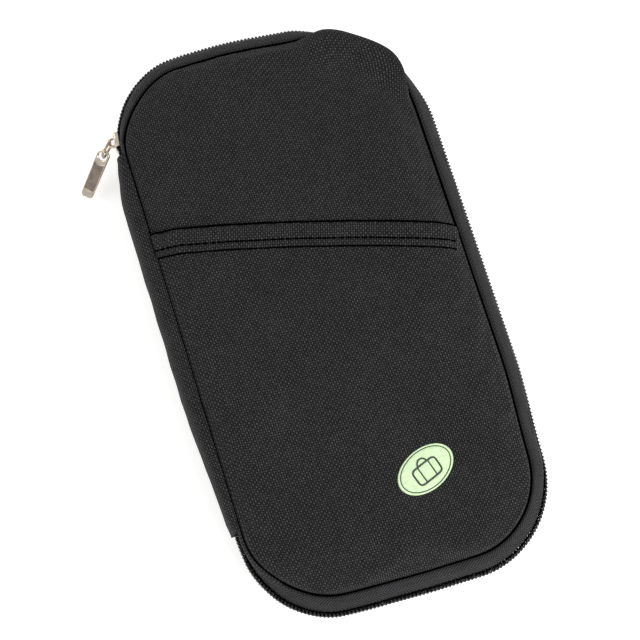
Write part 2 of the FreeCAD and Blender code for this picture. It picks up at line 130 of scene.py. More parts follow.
# ---------------------------------------------------------------- meshes
def make_mesh(name, points, faces, uvs, material, smooth_angle=None):
    """A mesh object from points and one texture coordinate per point, both in millimetres."""
    mesh = bpy.data.meshes.new(name)
    mesh.from_pydata([tuple(p) for p in np.asarray(points) * MM], [], [tuple(f) for f in faces])
    layer = mesh.uv_layers.new(name="cloth")
    uvs = np.asarray(uvs, float)
    corners = np.empty(len(mesh.loops), int)
    mesh.loops.foreach_get("vertex_index", corners)
    layer.data.foreach_set("uv", uvs[corners].astype(np.float32).ravel())
    mesh.polygons.foreach_set("use_smooth", np.ones(len(mesh.polygons), bool))
    if smooth_angle:
        mesh.set_sharp_from_angle(angle=math.radians(smooth_angle))
    mesh.materials.append(material)
    mesh.validate()
    mesh.update()
    piece = bpy.data.objects.new(name, mesh)
    bpy.context.scene.collection.objects.link(piece)
    return piece


def grid_faces(rows, columns, around=False, offset=0, flip=False):
    """Quads of a grid of rows by columns points; around also joins the last row to the first."""
    faces = []
    for i in range(rows if around else rows - 1):
        j = (i + 1) % rows
        for k in range(columns - 1):
            face = (
                offset + i * columns + k,
                offset + i * columns + k + 1,
                offset + j * columns + k + 1,
                offset + j * columns + k,
            )
            faces.append(face[::-1] if flip else face)
    return faces


def join_parts(parts):
    """One list of points, faces and texture coordinates from several."""
    points, faces, uvs, start = [], [], [], 0
    for part_points, part_faces, part_uvs in parts:
        points.append(np.asarray(part_points, float))
        uvs.append(np.asarray(part_uvs, float))
        faces.extend(tuple(start + index for index in face) for face in part_faces)
        start += len(part_points)
    return np.vstack(points), faces, np.vstack(uvs)


def tube(path, radius, sides=8, closed=False, flatten=1.0):
    """A round tube along a path of points; flatten squeezes it across its first normal."""
    path = np.asarray(path, float)
    count = len(path)
    ahead = np.roll(path, -1, 0) - np.roll(path, 1, 0)
    if not closed:
        ahead[0], ahead[-1] = path[1] - path[0], path[-1] - path[-2]
    ahead /= np.linalg.norm(ahead, axis=1)[:, None]
    normal = np.cross(ahead[0], (0.0, 0.0, 1.0))
    if np.linalg.norm(normal) < 0.1:
        normal = np.cross(ahead[0], (1.0, 0.0, 0.0))
    points, lengths, travelled = [], [], 0.0
    for i in range(count):
        normal = normal - ahead[i] * (normal @ ahead[i])
        normal /= np.linalg.norm(normal)
        side = np.cross(ahead[i], normal)
        travelled += np.linalg.norm(path[i] - path[i - 1]) if i else 0.0
        for k in range(sides + 1):
            a = 2 * math.pi * k / sides
            points.append(path[i] + radius * (normal * math.cos(a) * flatten + side * math.sin(a)))
            lengths.append((travelled, k * 2 * math.pi * radius / sides))
    faces = grid_faces(count, sides + 1, around=closed)
    if not closed:
        faces.append(tuple(range(sides))[::-1])
        faces.append(tuple((count - 1) * (sides + 1) + k for k in range(sides)))
    return np.array(points), faces, np.array(lengths)


def weld(piece, distance=0.001):
    """Joins points that lie together, and turns every face outwards."""
    mesh = bmesh.new()
    mesh.from_mesh(piece.data)
    bmesh.ops.remove_doubles(mesh, verts=mesh.verts, dist=distance * MM)
    bmesh.ops.recalc_face_normals(mesh, faces=mesh.faces)
    mesh.to_mesh(piece.data)
    mesh.free()
    return piece


def subdivide(piece, levels=1):
    """Applies a subdivision surface."""
    modifier = piece.modifiers.new("subdivision", "SUBSURF")
    modifier.levels = levels
    modifier.render_levels = levels
    apply_modifiers(piece)
    return piece


def apply_modifiers(piece):
    bpy.context.view_layer.update()
    graph = bpy.context.evaluated_depsgraph_get()
    mesh = bpy.data.meshes.new_from_object(piece.evaluated_get(graph))
    old = piece.data
    piece.modifiers.clear()
    piece.data = mesh
    bpy.data.meshes.remove(old)


def plate(name, outline, thickness, bevel, material, holes=()):
    """A flat plate of the given outline with rounded edges, level and centred on z = 0."""
    mesh = bmesh.new()
    loops = []
    for ring in (outline, *holes):
        verts = [mesh.verts.new((x * MM, y * MM, thickness / 2 * MM)) for x, y in ring]
        edges = [mesh.edges.new((verts[i], verts[(i + 1) % len(verts)])) for i in range(len(verts))]
        loops.extend(edges)
    bmesh.ops.triangle_fill(mesh, edges=loops, use_beauty=True)
    top = list(mesh.faces)
    extruded = bmesh.ops.extrude_face_region(mesh, geom=top)
    down = [g for g in extruded["geom"] if isinstance(g, bmesh.types.BMVert)]
    bmesh.ops.translate(mesh, verts=down, vec=(0, 0, -thickness * MM))
    bmesh.ops.recalc_face_normals(mesh, faces=mesh.faces)
    rims = [e for e in mesh.edges if e.is_manifold and e.calc_face_angle(0) > math.radians(60)]
    bmesh.ops.bevel(mesh, geom=rims, offset=bevel * MM, segments=3, profile=0.5, affect="EDGES")
    data = bpy.data.meshes.new(name)
    mesh.to_mesh(data)
    mesh.free()
    layer = data.uv_layers.new(name="cloth")
    for loop in data.loops:
        point = data.vertices[loop.vertex_index].co
        layer.data[loop.index].uv = (point.x / MM, point.y / MM)
    data.polygons.foreach_set("use_smooth", np.ones(len(data.polygons), bool))
    data.set_sharp_from_angle(angle=math.radians(35))
    data.materials.append(material)
    piece = bpy.data.objects.new(name, data)
    bpy.context.scene.collection.objects.link(piece)
    return piece


def merge(pieces, name):
    """Joins mesh objects into the first one, with their places applied."""
    for piece in pieces:
        piece.data.transform(piece.matrix_world)
        piece.matrix_world = Matrix.Identity(4)
    with bpy.context.temp_override(
        active_object=pieces[0], selected_editable_objects=pieces, object=pieces[0]
    ):
        bpy.ops.object.join()
    pieces[0].name = name
    return pieces[0]


# ---------------------------------------------------------------- materials
class Nodes:
    """Short names for building a node tree."""

    def __init__(self, name):
        self.material = bpy.data.materials.new(name)
        self.material.use_nodes = True
        self.tree = self.material.node_tree
        self.tree.nodes.clear()
        self.output = self.tree.nodes.new("ShaderNodeOutputMaterial")
        self.shader = self.tree.nodes.new("ShaderNodeBsdfPrincipled")
        self.tree.links.new(self.shader.outputs[0], self.output.inputs[0])

    def set(self, **values):
        for name, value in values.items():
            self.shader.inputs[name.replace("_", " ")].default_value = value

    def feed(self, node, socket, value):
        if isinstance(value, bpy.types.NodeSocket):
            self.tree.links.new(value, node.inputs[socket])
        else:
            node.inputs[socket].default_value = value

    def math(self, operation, a, b=0.0, c=0.0):
        node = self.tree.nodes.new("ShaderNodeMath")
        node.operation = operation
        for socket, value in enumerate((a, b, c)):
            self.feed(node, socket, value)
        return node.outputs[0]

    def mix(self, share, a, b):
        """a where share is 0 and b where it is 1."""
        return self.math("ADD", self.math("MULTIPLY", self.math("SUBTRACT", b, a), share), a)

    def uv(self):
        node = self.tree.nodes.new("ShaderNodeUVMap")
        node.uv_map = "cloth"
        split = self.tree.nodes.new("ShaderNodeSeparateXYZ")
        self.tree.links.new(node.outputs[0], split.inputs[0])
        return split.outputs[0], split.outputs[1]

    def place(self):
        node = self.tree.nodes.new("ShaderNodeTexCoord")
        return node.outputs["Object"]

    def noise(self, scale, detail=3.0, roughness=0.55, vector=None):
        """Smooth noise from 0 to 1; scale is in features per metre."""
        node = self.tree.nodes.new("ShaderNodeTexNoise")
        self.feed(node, "Scale", scale)
        self.feed(node, "Detail", detail)
        self.feed(node, "Roughness", roughness)
        self.tree.links.new(vector or self.place(), node.inputs["Vector"])
        return node.outputs["Fac"]

    def combine(self, x, y, z=0.0):
        node = self.tree.nodes.new("ShaderNodeCombineXYZ")
        for socket, value in enumerate((x, y, z)):
            self.feed(node, socket, value)
        return node.outputs[0]

    def white(self, vector):
        node = self.tree.nodes.new("ShaderNodeTexWhiteNoise")
        node.noise_dimensions = "2D"
        self.tree.links.new(vector, node.inputs["Vector"])
        return node.outputs["Value"]

    def ramp(self, value, *stops):
        """A colour ramp; each stop is a position and a colour."""
        node = self.tree.nodes.new("ShaderNodeValToRGB")
        elements = node.color_ramp.elements
        while len(elements) < len(stops):
            elements.new(0.5)
        for element, (position, colour) in zip(elements, stops):
            element.position = position
            element.color = (*colour, 1.0)
        self.tree.links.new(value, node.inputs[0])
        return node.outputs[0]

    def colour(self, socket):
        self.tree.links.new(socket, self.shader.inputs["Base Color"])

    def rough(self, socket):
        self.tree.links.new(socket, self.shader.inputs["Roughness"])

    def bump(self, height, distance_mm, strength=1.0):
        node = self.tree.nodes.new("ShaderNodeBump")
        self.feed(node, "Height", height)
        self.feed(node, "Distance", distance_mm * MM)
        self.feed(node, "Strength", strength)
        self.tree.links.new(node.outputs[0], self.shader.inputs["Normal"])


def woven(name, warp, weft, dark, light, depth, roughness, sheen, skew=0.0, bulge=1.1):
    """Plain weave: warp and weft are the thread spacings in millimetres, dark and light linear greys."""
    n = Nodes(name)
    u, v = n.uv()
    if skew:
        v = n.math("ADD", v, n.math("MULTIPLY", u, math.tan(math.radians(skew))))
    wander = n.math("MULTIPLY", n.math("SUBTRACT", n.noise(140.0, 2.0), 0.5), 0.5)
    a = n.math("DIVIDE", n.math("ADD", u, wander), warp)
    b = n.math("DIVIDE", n.math("ADD", v, wander), weft)
    across = n.math("ABSOLUTE", n.math("SINE", n.math("MULTIPLY", a, math.pi)))
    along = n.math("ABSOLUTE", n.math("SINE", n.math("MULTIPLY", b, math.pi)))
    cell_a, cell_b = n.math("FLOOR", a), n.math("FLOOR", b)
    parity = n.math("PINGPONG", n.math("ADD", cell_a, cell_b), 1.0)
    round_across, round_along = n.math("POWER", across, bulge), n.math("POWER", along, bulge)
    warp_up = n.math("MULTIPLY", round_across, n.math("MULTIPLY_ADD", along, 0.5, 0.5))
    weft_up = n.math("MULTIPLY", round_along, n.math("MULTIPLY_ADD", across, 0.5, 0.5))
    height = n.mix(parity, warp_up, weft_up)
    fibre_u = n.noise(1.0, 2.0, vector=n.combine(n.math("MULTIPLY", a, 1.2), n.math("MULTIPLY", b, 9.0)))
    fibre_v = n.noise(1.0, 2.0, vector=n.combine(n.math("MULTIPLY", a, 9.0), n.math("MULTIPLY", b, 1.2)))
    fibres = n.mix(parity, fibre_v, fibre_u)
    each = n.white(n.combine(cell_a, cell_b))
    patches = n.noise(45.0, 4.0)
    # Painted light: thread crowns are painted lighter than the gaps between threads, and weft-over cells a third
    # darker than warp-over ones, as if lit from one side; the per-thread, fibre and patch terms are random tone.
    lit = n.math("MULTIPLY", height, n.math("MULTIPLY_ADD", parity, -0.32, 1.0))
    tone = n.math("MULTIPLY_ADD", lit, 0.95, n.math("MULTIPLY", n.math("SUBTRACT", each, 0.5), 0.18))
    tone = n.math("ADD", tone, n.math("MULTIPLY", n.math("SUBTRACT", fibres, 0.5), 0.22))
    tone = n.math("ADD", tone, n.math("MULTIPLY", n.math("SUBTRACT", patches, 0.5), 0.2))
    n.colour(n.ramp(tone, (0.38, dark), (0.95, light)))
    n.rough(n.math("MULTIPLY_ADD", fibres, 0.25, roughness - 0.12))
    n.bump(n.math("ADD", height, n.math("MULTIPLY", fibres, 0.25)), depth)
    n.set(Sheen_Weight=sheen, Sheen_Roughness=0.45, Specular_IOR_Level=0.25)
    return n.material


def herringbone(name, rib, band, dark, light):
    """Zipper tape: slanting ribs that turn back every band millimetres across the tape."""
    n = Nodes(name)
    u, v = n.uv()
    zigzag = n.math("PINGPONG", v, band)
    phase = n.math("DIVIDE", n.math("ADD", u, zigzag), rib)
    ridge = n.math("ABSOLUTE", n.math("SINE", n.math("MULTIPLY", phase, math.pi)))
    thread = n.math("ABSOLUTE", n.math("SINE", n.math("MULTIPLY", v, math.pi / 0.42)))
    height = n.math("MULTIPLY", ridge, n.math("MULTIPLY_ADD", thread, 0.4, 0.6))
    patches = n.noise(120.0, 3.0)
    # Painted light: the rib crowns are painted lighter than the grooves between them, over a random patchy tone.
    tone = n.math("MULTIPLY_ADD", height, 0.8, n.math("MULTIPLY", patches, 0.25))
    n.colour(n.ramp(tone, (0.48, dark), (1.0, light)))
    n.bump(height, 0.34)
    n.set(Roughness=0.7, Sheen_Weight=0.05, Sheen_Roughness=0.4, Specular_IOR_Level=0.25)
    return n.material


def plastic_coil():
    n = Nodes("coil_nylon")
    grain = n.noise(900.0, 2.0)
    n.colour(n.ramp(grain, (0.3, (0.003, 0.003, 0.003)), (0.8, (0.008, 0.008, 0.009))))
    n.rough(n.math("MULTIPLY_ADD", grain, 0.2, 0.34))
    n.set(Specular_IOR_Level=0.3)
    return n.material


def thread_material(name, dark, light, sheen=0.2):
    n = Nodes(name)
    u, v = n.uv()
    twist = n.math("SINE", n.math("MULTIPLY_ADD", u, 14.0, n.math("MULTIPLY", v, 5.0)))
    n.colour(n.ramp(n.math("MULTIPLY_ADD", twist, 0.5, 0.5), (0.0, (dark,) * 3), (1.0, (light,) * 3)))
    n.bump(twist, 0.08)
    n.set(Roughness=0.5, Sheen_Weight=sheen, Specular_IOR_Level=sheen)
    return n.material


def plated(name, colour, roughness, brush=0.0, wear_and_dark_reflection=0.0):
    """Plated metal; brush is the strength of fine lines along u, and the last argument darkens the metal in
    small patches: wear, and on the link's darker copy also painted dark reflections.
    """
    n = Nodes(name)
    u, v = n.uv()
    lines = n.noise(1.0, 3.0, vector=n.combine(n.math("MULTIPLY", u, 0.35), n.math("MULTIPLY", v, 14.0)))
    spots = n.noise(420.0, 5.0, 0.65)
    tone = n.math("MULTIPLY_ADD", n.math("SUBTRACT", lines, 0.5), brush, n.math("MULTIPLY", spots, 1.0))
    darker = tuple(c * (1 - wear_and_dark_reflection) for c in colour)
    n.colour(n.ramp(tone, (0.25, darker), (0.62, colour)))
    n.rough(n.math("MULTIPLY_ADD", lines, 0.12 + 0.25 * brush, roughness))
    n.bump(n.math("MULTIPLY_ADD", lines, brush, n.math("MULTIPLY", spots, 0.3)), 0.02)
    n.set(Metallic=1.0)
    return n.material


def label_material(name, dark, light):
    n = Nodes(name)
    u, v = n.uv()
    pebbles = n.tree.nodes.new("ShaderNodeTexVoronoi")
    n.feed(pebbles, "Scale", 1.15)
    n.tree.links.new(n.combine(u, v), pebbles.inputs["Vector"])
    n.colour(n.ramp(pebbles.outputs["Distance"], (0.0, light), (0.9, dark)))
    n.bump(pebbles.outputs["Distance"], 0.10)
    n.set(Roughness=0.5, Specular_IOR_Level=0.4)
    return n.material


def film_material():
    n = Nodes("window_film")
    ripple = n.noise(60.0, 2.0)
    n.rough(n.math("MULTIPLY_ADD", ripple, 0.1, 0.06))
    n.bump(ripple, 0.4)
    n.set(Base_Color=(0.85, 0.88, 0.9, 1.0), Alpha=0.28, Specular_IOR_Level=0.6)
    return n.material


# The light grey is the painted highlight on the thread crowns, the dark grey the painted shade between them.
CLOTH_DARK, CLOTH_LIGHT = (0.0002, 0.0002, 0.0002), (0.070, 0.070, 0.071)
oxford_front = woven("oxford_front", 0.90, 0.93, CLOTH_DARK, CLOTH_LIGHT, 0.34, 0.8, 0.02, skew=6)
oxford_upper = woven("oxford_upper", 0.90, 0.93, CLOTH_DARK, CLOTH_LIGHT, 0.34, 0.8, 0.02, skew=11)
oxford_plain = woven("oxford_plain", 0.90, 0.93, CLOTH_DARK, CLOTH_LIGHT, 0.34, 0.8, 0.02)
lining_cloth = woven("lining_cloth", 0.62, 0.62, (0.0005,) * 3, (0.060, 0.061, 0.065), 0.16, 0.6, 0.05)
pocket_cloth = woven(
    "pocket_cloth", 0.62, 0.62, (0.0008,) * 3, (0.070, 0.071, 0.076), 0.16, 0.55, 0.05, skew=3
)
binding_cloth = herringbone("binding_cloth", 0.9, 40.0, (0.008,) * 3, (0.04, 0.04, 0.042))
tape_cloth = herringbone("tape_cloth", 1.35, 3.3, (0.0003, 0.0003, 0.0004), (0.044, 0.045, 0.049))
coil_nylon = plastic_coil()
sewing_thread = thread_material("sewing_thread", 0.012, 0.05)
# Near-black thread for stitches; the same material paints the shade in the covers' seams and along the pocket's
# hem.
dark_thread_and_painted_shade = thread_material("dark_thread_and_painted_shade", 0.0002, 0.0012, 0.0)
gold = plated("pale_gold", (0.82, 0.73, 0.60), 0.14, 0.1, 0.35)
# A darker copy of the pale gold for the link: its darker colour and stronger patch darkening are painted dark
# reflections.
gold_painted_dark = plated("painted_dark_gold", (0.50, 0.42, 0.33), 0.2, 0.2, 0.6)
gold_brushed = plated("brushed_inlay", (0.34, 0.28, 0.235), 0.36, 0.9, 0.5)
gunmetal = plated("gunmetal", (0.20, 0.20, 0.21), 0.3, 0.25, 0.3)
patch_green = label_material("patch_green", (0.50, 0.66, 0.38), (0.66, 0.84, 0.54))
patch_ink = label_material("patch_ink", (0.02, 0.03, 0.02), (0.035, 0.05, 0.035))
window_film = film_material()


# ---------------------------------------------------------------- lines in plan
class Line:
    """A line in plan with its length, and its outward side on the left of its direction."""

    def __init__(self, pieces, step=0.3):
        points = []
        for kind, *facts in pieces:
            if kind == "run":
                (x0, y0), (x1, y1) = facts
                count = max(2, int(math.dist((x0, y0), (x1, y1)) / step))
                t = np.linspace(0, 1, count, endpoint=False)
                points.append(np.stack([x0 + (x1 - x0) * t, y0 + (y1 - y0) * t], 1))
            else:
                (x, y), radius, a0, a1 = facts
                count = max(2, int(radius * abs(math.radians(a1 - a0)) / step))
                a = np.radians(np.linspace(a0, a1, count, endpoint=False))
                points.append(np.stack([x + radius * np.cos(a), y + radius * np.sin(a)], 1))
        last = pieces[-1]
        if last[0] == "run":
            points.append(np.array([last[2]]))
        points = np.vstack(points)
        self.points = np.stack(lean(points[:, 0], points[:, 1]), 1)
        steps = np.linalg.norm(np.diff(self.points, axis=0), axis=1)
        self.distance = np.concatenate([[0], np.cumsum(steps)])
        self.length = self.distance[-1]
        ahead = np.gradient(self.points, axis=0)
        ahead /= np.linalg.norm(ahead, axis=1)[:, None]
        self.outward = np.stack([-ahead[:, 1], ahead[:, 0]], 1)

    def at(self, s):
        """Points and outward directions at the given lengths along the line."""
        places = [np.interp(s, self.distance, self.points[:, k]) for k in (0, 1)]
        sides = [np.interp(s, self.distance, self.outward[:, k]) for k in (0, 1)]
        return np.stack(places, 1), np.stack(sides, 1)


def corner_centre(side_x, half, radius):
    return (side_x + math.copysign(radius, -side_x), half - radius)


zip_left = corner_centre(ZIP_LEFT, ZIP_HALF, ZIP_CORNER_LEFT)
zip_right = corner_centre(ZIP_RIGHT, ZIP_HALF, ZIP_CORNER_RIGHT)
zipper_line = Line(
    [
        ("run", (ZIP_LEFT, SPINE_TOP_Y - 3), (ZIP_LEFT, zip_left[1])),
        ("arc", zip_left, ZIP_CORNER_LEFT, 180, 90),
        ("run", (zip_left[0], ZIP_HALF), (zip_right[0], ZIP_HALF)),
        ("arc", zip_right, ZIP_CORNER_RIGHT, 90, 0),
        ("run", (ZIP_RIGHT, zip_right[1]), (ZIP_RIGHT, -zip_right[1])),
        ("arc", (zip_right[0], -zip_right[1]), ZIP_CORNER_RIGHT, 0, -90),
        ("run", (zip_right[0], -ZIP_HALF), (zip_left[0], -ZIP_HALF)),
        ("arc", (zip_left[0], -zip_left[1]), ZIP_CORNER_LEFT, -90, -180),
        ("run", (ZIP_LEFT, -zip_left[1]), (ZIP_LEFT, SPINE_BOTTOM_Y + 3)),
    ]
)


def seam_line(inset):
    """The covers' outline, inset, clockwise from the middle of the spine side and back to it."""
    left, right = COVER_LEFT + inset, COVER_RIGHT - inset
    half = COVER_HALF - inset
    r_left, r_right = COVER_CORNER_LEFT - inset, COVER_CORNER_RIGHT - inset
    upper_left, upper_right = (left + r_left, half - r_left), (right - r_right, half - r_right)
    return Line(
        [
            ("run", (left, 0), (left, upper_left[1])),
            ("arc", upper_left, r_left, 180, 90),
            ("run", (upper_left[0], half), (upper_right[0], half)),
            ("arc", upper_right, r_right, 90, 0),
            ("run", (right, upper_right[1]), (right, -upper_right[1])),
            ("arc", (upper_right[0], -upper_right[1]), r_right, 0, -90),
            ("run", (upper_right[0], -half), (upper_left[0], -half)),
            ("arc", (upper_left[0], -upper_left[1]), r_left, -90, -180),
            ("run", (left, -upper_left[1]), (left, 0)),
        ]
    )


def nearest(points, line):
    """The line's point that is nearest to each given point."""
    found = []
    for point in points:
        gap = line.points - point
        found.append(line.points[np.argmin((gap**2).sum(1))])
    return np.array(found)


# ---------------------------------------------------------------- padded covers
GRID_X, GRID_Y, CORNER_STEPS = 26, 72, 18
EDGE_RINGS = (0.0, 0.35, 0.8, 1.4, 2.1, 3.0, 4.0, 5.2, 6.8, 9.0, 12.0, 15.5, 19.5, 23.5)


class CoverGrid:
    """Points over a cover's plan: spokes from its outline to an inner rectangle, and a grid in that."""

    def __init__(self, inset=0.0):
        left, right = COVER_LEFT + inset, COVER_RIGHT - inset
        half = COVER_HALF - inset
        r_left, r_right = COVER_CORNER_LEFT - inset, COVER_CORNER_RIGHT - inset
        low_left, low_right = (left + r_left, r_left - half), (right - r_right, r_right - half)
        up_right, up_left = (low_right[0], -low_right[1]), (low_left[0], -low_left[1])
        nx, ny, steps = GRID_X, GRID_Y, CORNER_STEPS
        spokes = []

        def corner(anchor, radius, start, cell):
            for k in range(steps + 1):
                a = math.radians(start + 90 * k / steps)
                spokes.append((anchor, (math.cos(a), math.sin(a)), radius, cell))

        def side(a, b, radii, direction, count, cells):
            for k in range(1, count):
                t = k / count
                anchor = (a[0] + (b[0] - a[0]) * t, a[1] + (b[1] - a[1]) * t)
                spokes.append((anchor, direction, radii[0] + (radii[1] - radii[0]) * t, cells(k)))

        corner(low_left, r_left, 180, (0, 0))
        side(low_left, low_right, (r_left, r_right), (0, -1), nx, lambda k: (k, 0))
        corner(low_right, r_right, 270, (nx, 0))
        side(low_right, up_right, (r_right, r_right), (1, 0), ny, lambda k: (nx, k))
        corner(up_right, r_right, 0, (nx, ny))
        side(up_right, up_left, (r_right, r_left), (0, 1), nx, lambda k: (nx - k, ny))
        corner(up_left, r_left, 90, (0, ny))
        side(up_left, low_left, (r_left, r_left), (-1, 0), ny, lambda k: (0, ny - k))
        self.spokes = spokes
        rings = [d for d in EDGE_RINGS if d < r_left - 1]
        self.rings = len(rings)
        plan, away = [], []
        for d in rings:
            for (ax, ay), (dx, dy), radius, _ in spokes:
                plan.append((ax + dx * (radius - d), ay + dy * (radius - d)))
                away.append(d)
        self.core = len(plan)
        for j in range(ny + 1):
            for i in range(nx + 1):
                s, t = i / nx, j / ny
                x = (low_left[0] * (1 - s)) + low_right[0] * s
                low = low_left[1] * (1 - s) + low_right[1] * s
                y = low * (1 - 2 * t)
                plan.append((x, y))
                away.append(min(x - left, right - x, half - abs(y)))
        self.plan, self.away = np.array(plan), np.array(away)
        self.faces = self._faces(nx, ny)

    def _core_index(self, cell):
        return self.core + cell[1] * (GRID_X + 1) + cell[0]

    def _faces(self, nx, ny):
        count = len(self.spokes)
        faces = []
        for ring in range(self.rings - 1):
            for i in range(count):
                j = (i + 1) % count
                low, high = ring * count, (ring + 1) * count
                faces.append((low + i, low + j, high + j, high + i))
        low = (self.rings - 1) * count
        for i in range(count):
            j = (i + 1) % count
            a, b = self._core_index(self.spokes[i][3]), self._core_index(self.spokes[j][3])
            faces.append((low + i, low + j, b) if a == b else (low + i, low + j, b, a))
        faces.extend(grid_faces(ny + 1, nx + 1, offset=self.core))
        return faces

    def unrolled(self, z):
        """Texture coordinates that keep the cloth's scale where it rolls over the edge."""
        count = len(self.spokes)
        uvs = self.plan.copy()
        for i, (anchor, direction, _, cell) in enumerate(self.spokes):
            column = [ring * count + i for ring in range(self.rings)][::-1]
            before = self._core_index(cell)
            length = 0.0
            for index in column:
                flat = math.dist(self.plan[index], self.plan[before])
                length += math.hypot(flat, z[index] - z[before])
                uvs[index] = (anchor[0] + direction[0] * length, anchor[1] + direction[1] * length)
                before = index
        return uvs


def rounded_rise(away, width, height):
    """Height over the seam of a cover's rolled edge, from 0 at the outline to height."""
    t = np.clip(away / width, 0, 1)
    return height * np.power(1 - np.power(1 - t, 2.4), 1 / 2.0)


def overhang(x, y, away):
    """How far the skin pushes out, in facets, over the zipper tape at the crumpled corner."""
    turn = np.degrees(np.arctan2(y - FAR_CORNER[1], x - FAR_CORNER[0]))
    span = smooth((turn + 22) / 34) * smooth((108 - turn) / 32) * smooth((x - 2) / 20) * smooth((y - 60) / 16)
    facets = 3.6 + 0.8 * np.cos(np.radians(6.4 * (turn - 26)))
    return facets * span * smooth(away / 1.2) * smooth((17 - away) / 13)


def front_height(x, y, away):
    """The puffed front cover: a rolled edge, a low crown, soft dents and one crumpled corner."""
    rise = rounded_rise(away, 6.5, FRONT_FACE_Z - FRONT_SEAM_Z)
    crown = 1.5 * (1 - np.clip(np.abs(x) / 60, 0, 1) ** 2) * (1 - np.clip(np.abs(y) / 112, 0, 1) ** 3)
    soft = smooth(away / 12)
    dents = 0.35 * waves(x, y, 34, 1.7) + 0.22 * waves(x, y, 15, 5.2)
    corner = smooth((x - 18) / 30) * smooth((y - 62) / 34) * smooth(away / 5)
    folds = np.abs(waves(x + 0.45 * y, y - 0.4 * x, 15, 8.3))
    crumple = corner * (0.5 + 1.7 * (0.32 - folds))
    return FRONT_SEAM_Z + rise + crown * soft + dents * soft + crumple - SEAM_SINK * smooth(1 - away / 1.5)


def back_height(x, y, away):
    """The back cover's outside, flat where it rests, as a depth below its seam."""
    rise = rounded_rise(away, 7.0, BACK_SEAM_Z)
    soft = smooth((16 - away) / 12) * smooth(away / 4)
    return BACK_SEAM_Z - rise + soft * np.abs(0.3 * waves(x, y, 22, 3.1))


def puff_up(piece, pinned, cap, pressure=3.0, frames=16):
    """Cloth simulation with air pressure behind the cover's skin; no point moves further than cap
    millimetres."""
    group = piece.vertex_groups.new(name="seam")
    group.add([int(i) for i in pinned], 1.0, "REPLACE")
    start = np.array([v.co for v in piece.data.vertices])
    cloth = piece.modifiers.new("puff", "CLOTH")
    settings = cloth.settings
    settings.quality = 5
    settings.mass = 0.25
    settings.tension_stiffness = 15
    settings.compression_stiffness = 15
    settings.shear_stiffness = 8
    settings.bending_stiffness = 0.6
    settings.shrink_min = -0.012
    settings.use_pressure = True
    settings.uniform_pressure_force = pressure
    settings.vertex_group_mass = "seam"
    settings.effector_weights.gravity = 0
    cloth.collision_settings.use_self_collision = False
    cloth.point_cache.frame_end = frames
    scene = bpy.context.scene
    for step in range(1, frames + 1):
        scene.frame_set(step)
    apply_modifiers(piece)
    scene.frame_set(1)
    moved = np.array([v.co for v in piece.data.vertices]) - start
    reach = np.linalg.norm(moved, axis=1)
    scale = np.minimum(1.0, cap * MM / np.maximum(reach, 1e-9))
    final = start + moved * scale[:, None]
    piece.data.vertices.foreach_set("co", final.astype(np.float32).ravel())
    piece.vertex_groups.clear()
    piece.data.update()


def padded_cover(name, height, inner_z, material, faces_up):
    """A cover's skin over its rolled edge, closed on the inside by a flat face at inner_z."""
    grid = CoverGrid()
    z = height(grid.plan[:, 0], grid.plan[:, 1], grid.away)
    uvs = grid.unrolled(z)
    plan = np.stack(lean(grid.plan[:, 0], grid.plan[:, 1]), 1)
    if faces_up:
        out = grid.plan - np.array(FAR_CORNER)
        out /= np.maximum(np.linalg.norm(out, axis=1), 1e-6)[:, None]
        plan += overhang(grid.plan[:, 0], grid.plan[:, 1], grid.away)[:, None] * out
    faces = grid.faces if faces_up else [face[::-1] for face in grid.faces]
    skin = make_mesh(name, np.column_stack([plan, z]), faces, uvs, material)
    puff_up(skin, np.nonzero(grid.away < 0.6)[0], 1.2)
    subdivide(skin)
    for vertex in skin.data.vertices:
        vertex.co.z = max(vertex.co.z, 0.0)
    close_inside(skin, inner_z)
    return skin


def close_inside(skin, inner_z):
    """Turns the skin's rim inwards and closes it with a face at inner_z."""
    mesh = bmesh.new()
    mesh.from_mesh(skin.data)
    rim = [edge for edge in mesh.edges if edge.is_boundary]
    grown = bmesh.ops.extrude_edge_only(mesh, edges=rim)["geom"]
    core_left, core_right = COVER_LEFT + COVER_CORNER_LEFT, COVER_RIGHT - COVER_CORNER_RIGHT
    for vert in (g for g in grown if isinstance(g, bmesh.types.BMVert)):
        x, y = vert.co.x / MM, vert.co.y / MM
        core = Vector((min(max(x, core_left), core_right), min(max(y, -79.0), 79.0), 0))
        inward = (core - Vector((x, y, 0))).normalized()
        vert.co += inward * MM
        vert.co.z = inner_z * MM
    bmesh.ops.holes_fill(mesh, edges=[e for e in mesh.edges if e.is_boundary], sides=0)
    bmesh.ops.recalc_face_normals(mesh, faces=mesh.faces)
    mesh.to_mesh(skin.data)
    mesh.free()
    skin.data.set_sharp_from_angle(angle=math.radians(60))


class Ground:
    """Finds points on a finished surface, straight above or below a place in plan."""

    def __init__(self, piece, downward=True):
        mesh = piece.data
        points = [v.co / MM for v in mesh.vertices]
        self.tree = BVHTree.FromPolygons(points, [tuple(p.vertices) for p in mesh.polygons])
        self.downward = downward

    def on(self, x, y, away=0.0):
        """The surface point over (x, y), moved out along the surface's normal."""
        start = Vector((x, y, 60 if self.downward else -60))
        aim = Vector((0, 0, -1 if self.downward else 1))
        spot, normal, _, _ = self.tree.ray_cast(start, aim)
        if spot is None:
            spot, normal, _, _ = self.tree.find_nearest(Vector((x, y, FRONT_SEAM_Z)))
        if normal.z * aim.z > 0:
            normal = -normal
        return np.array(spot + normal * away * max(0.25, abs(normal.z)) ** 1.5)


# ---------------------------------------------------------------- slip pocket on the front
MOUTH = ((-60.0, 46.4), (0.0, 31.8), (60.0, 13.0))


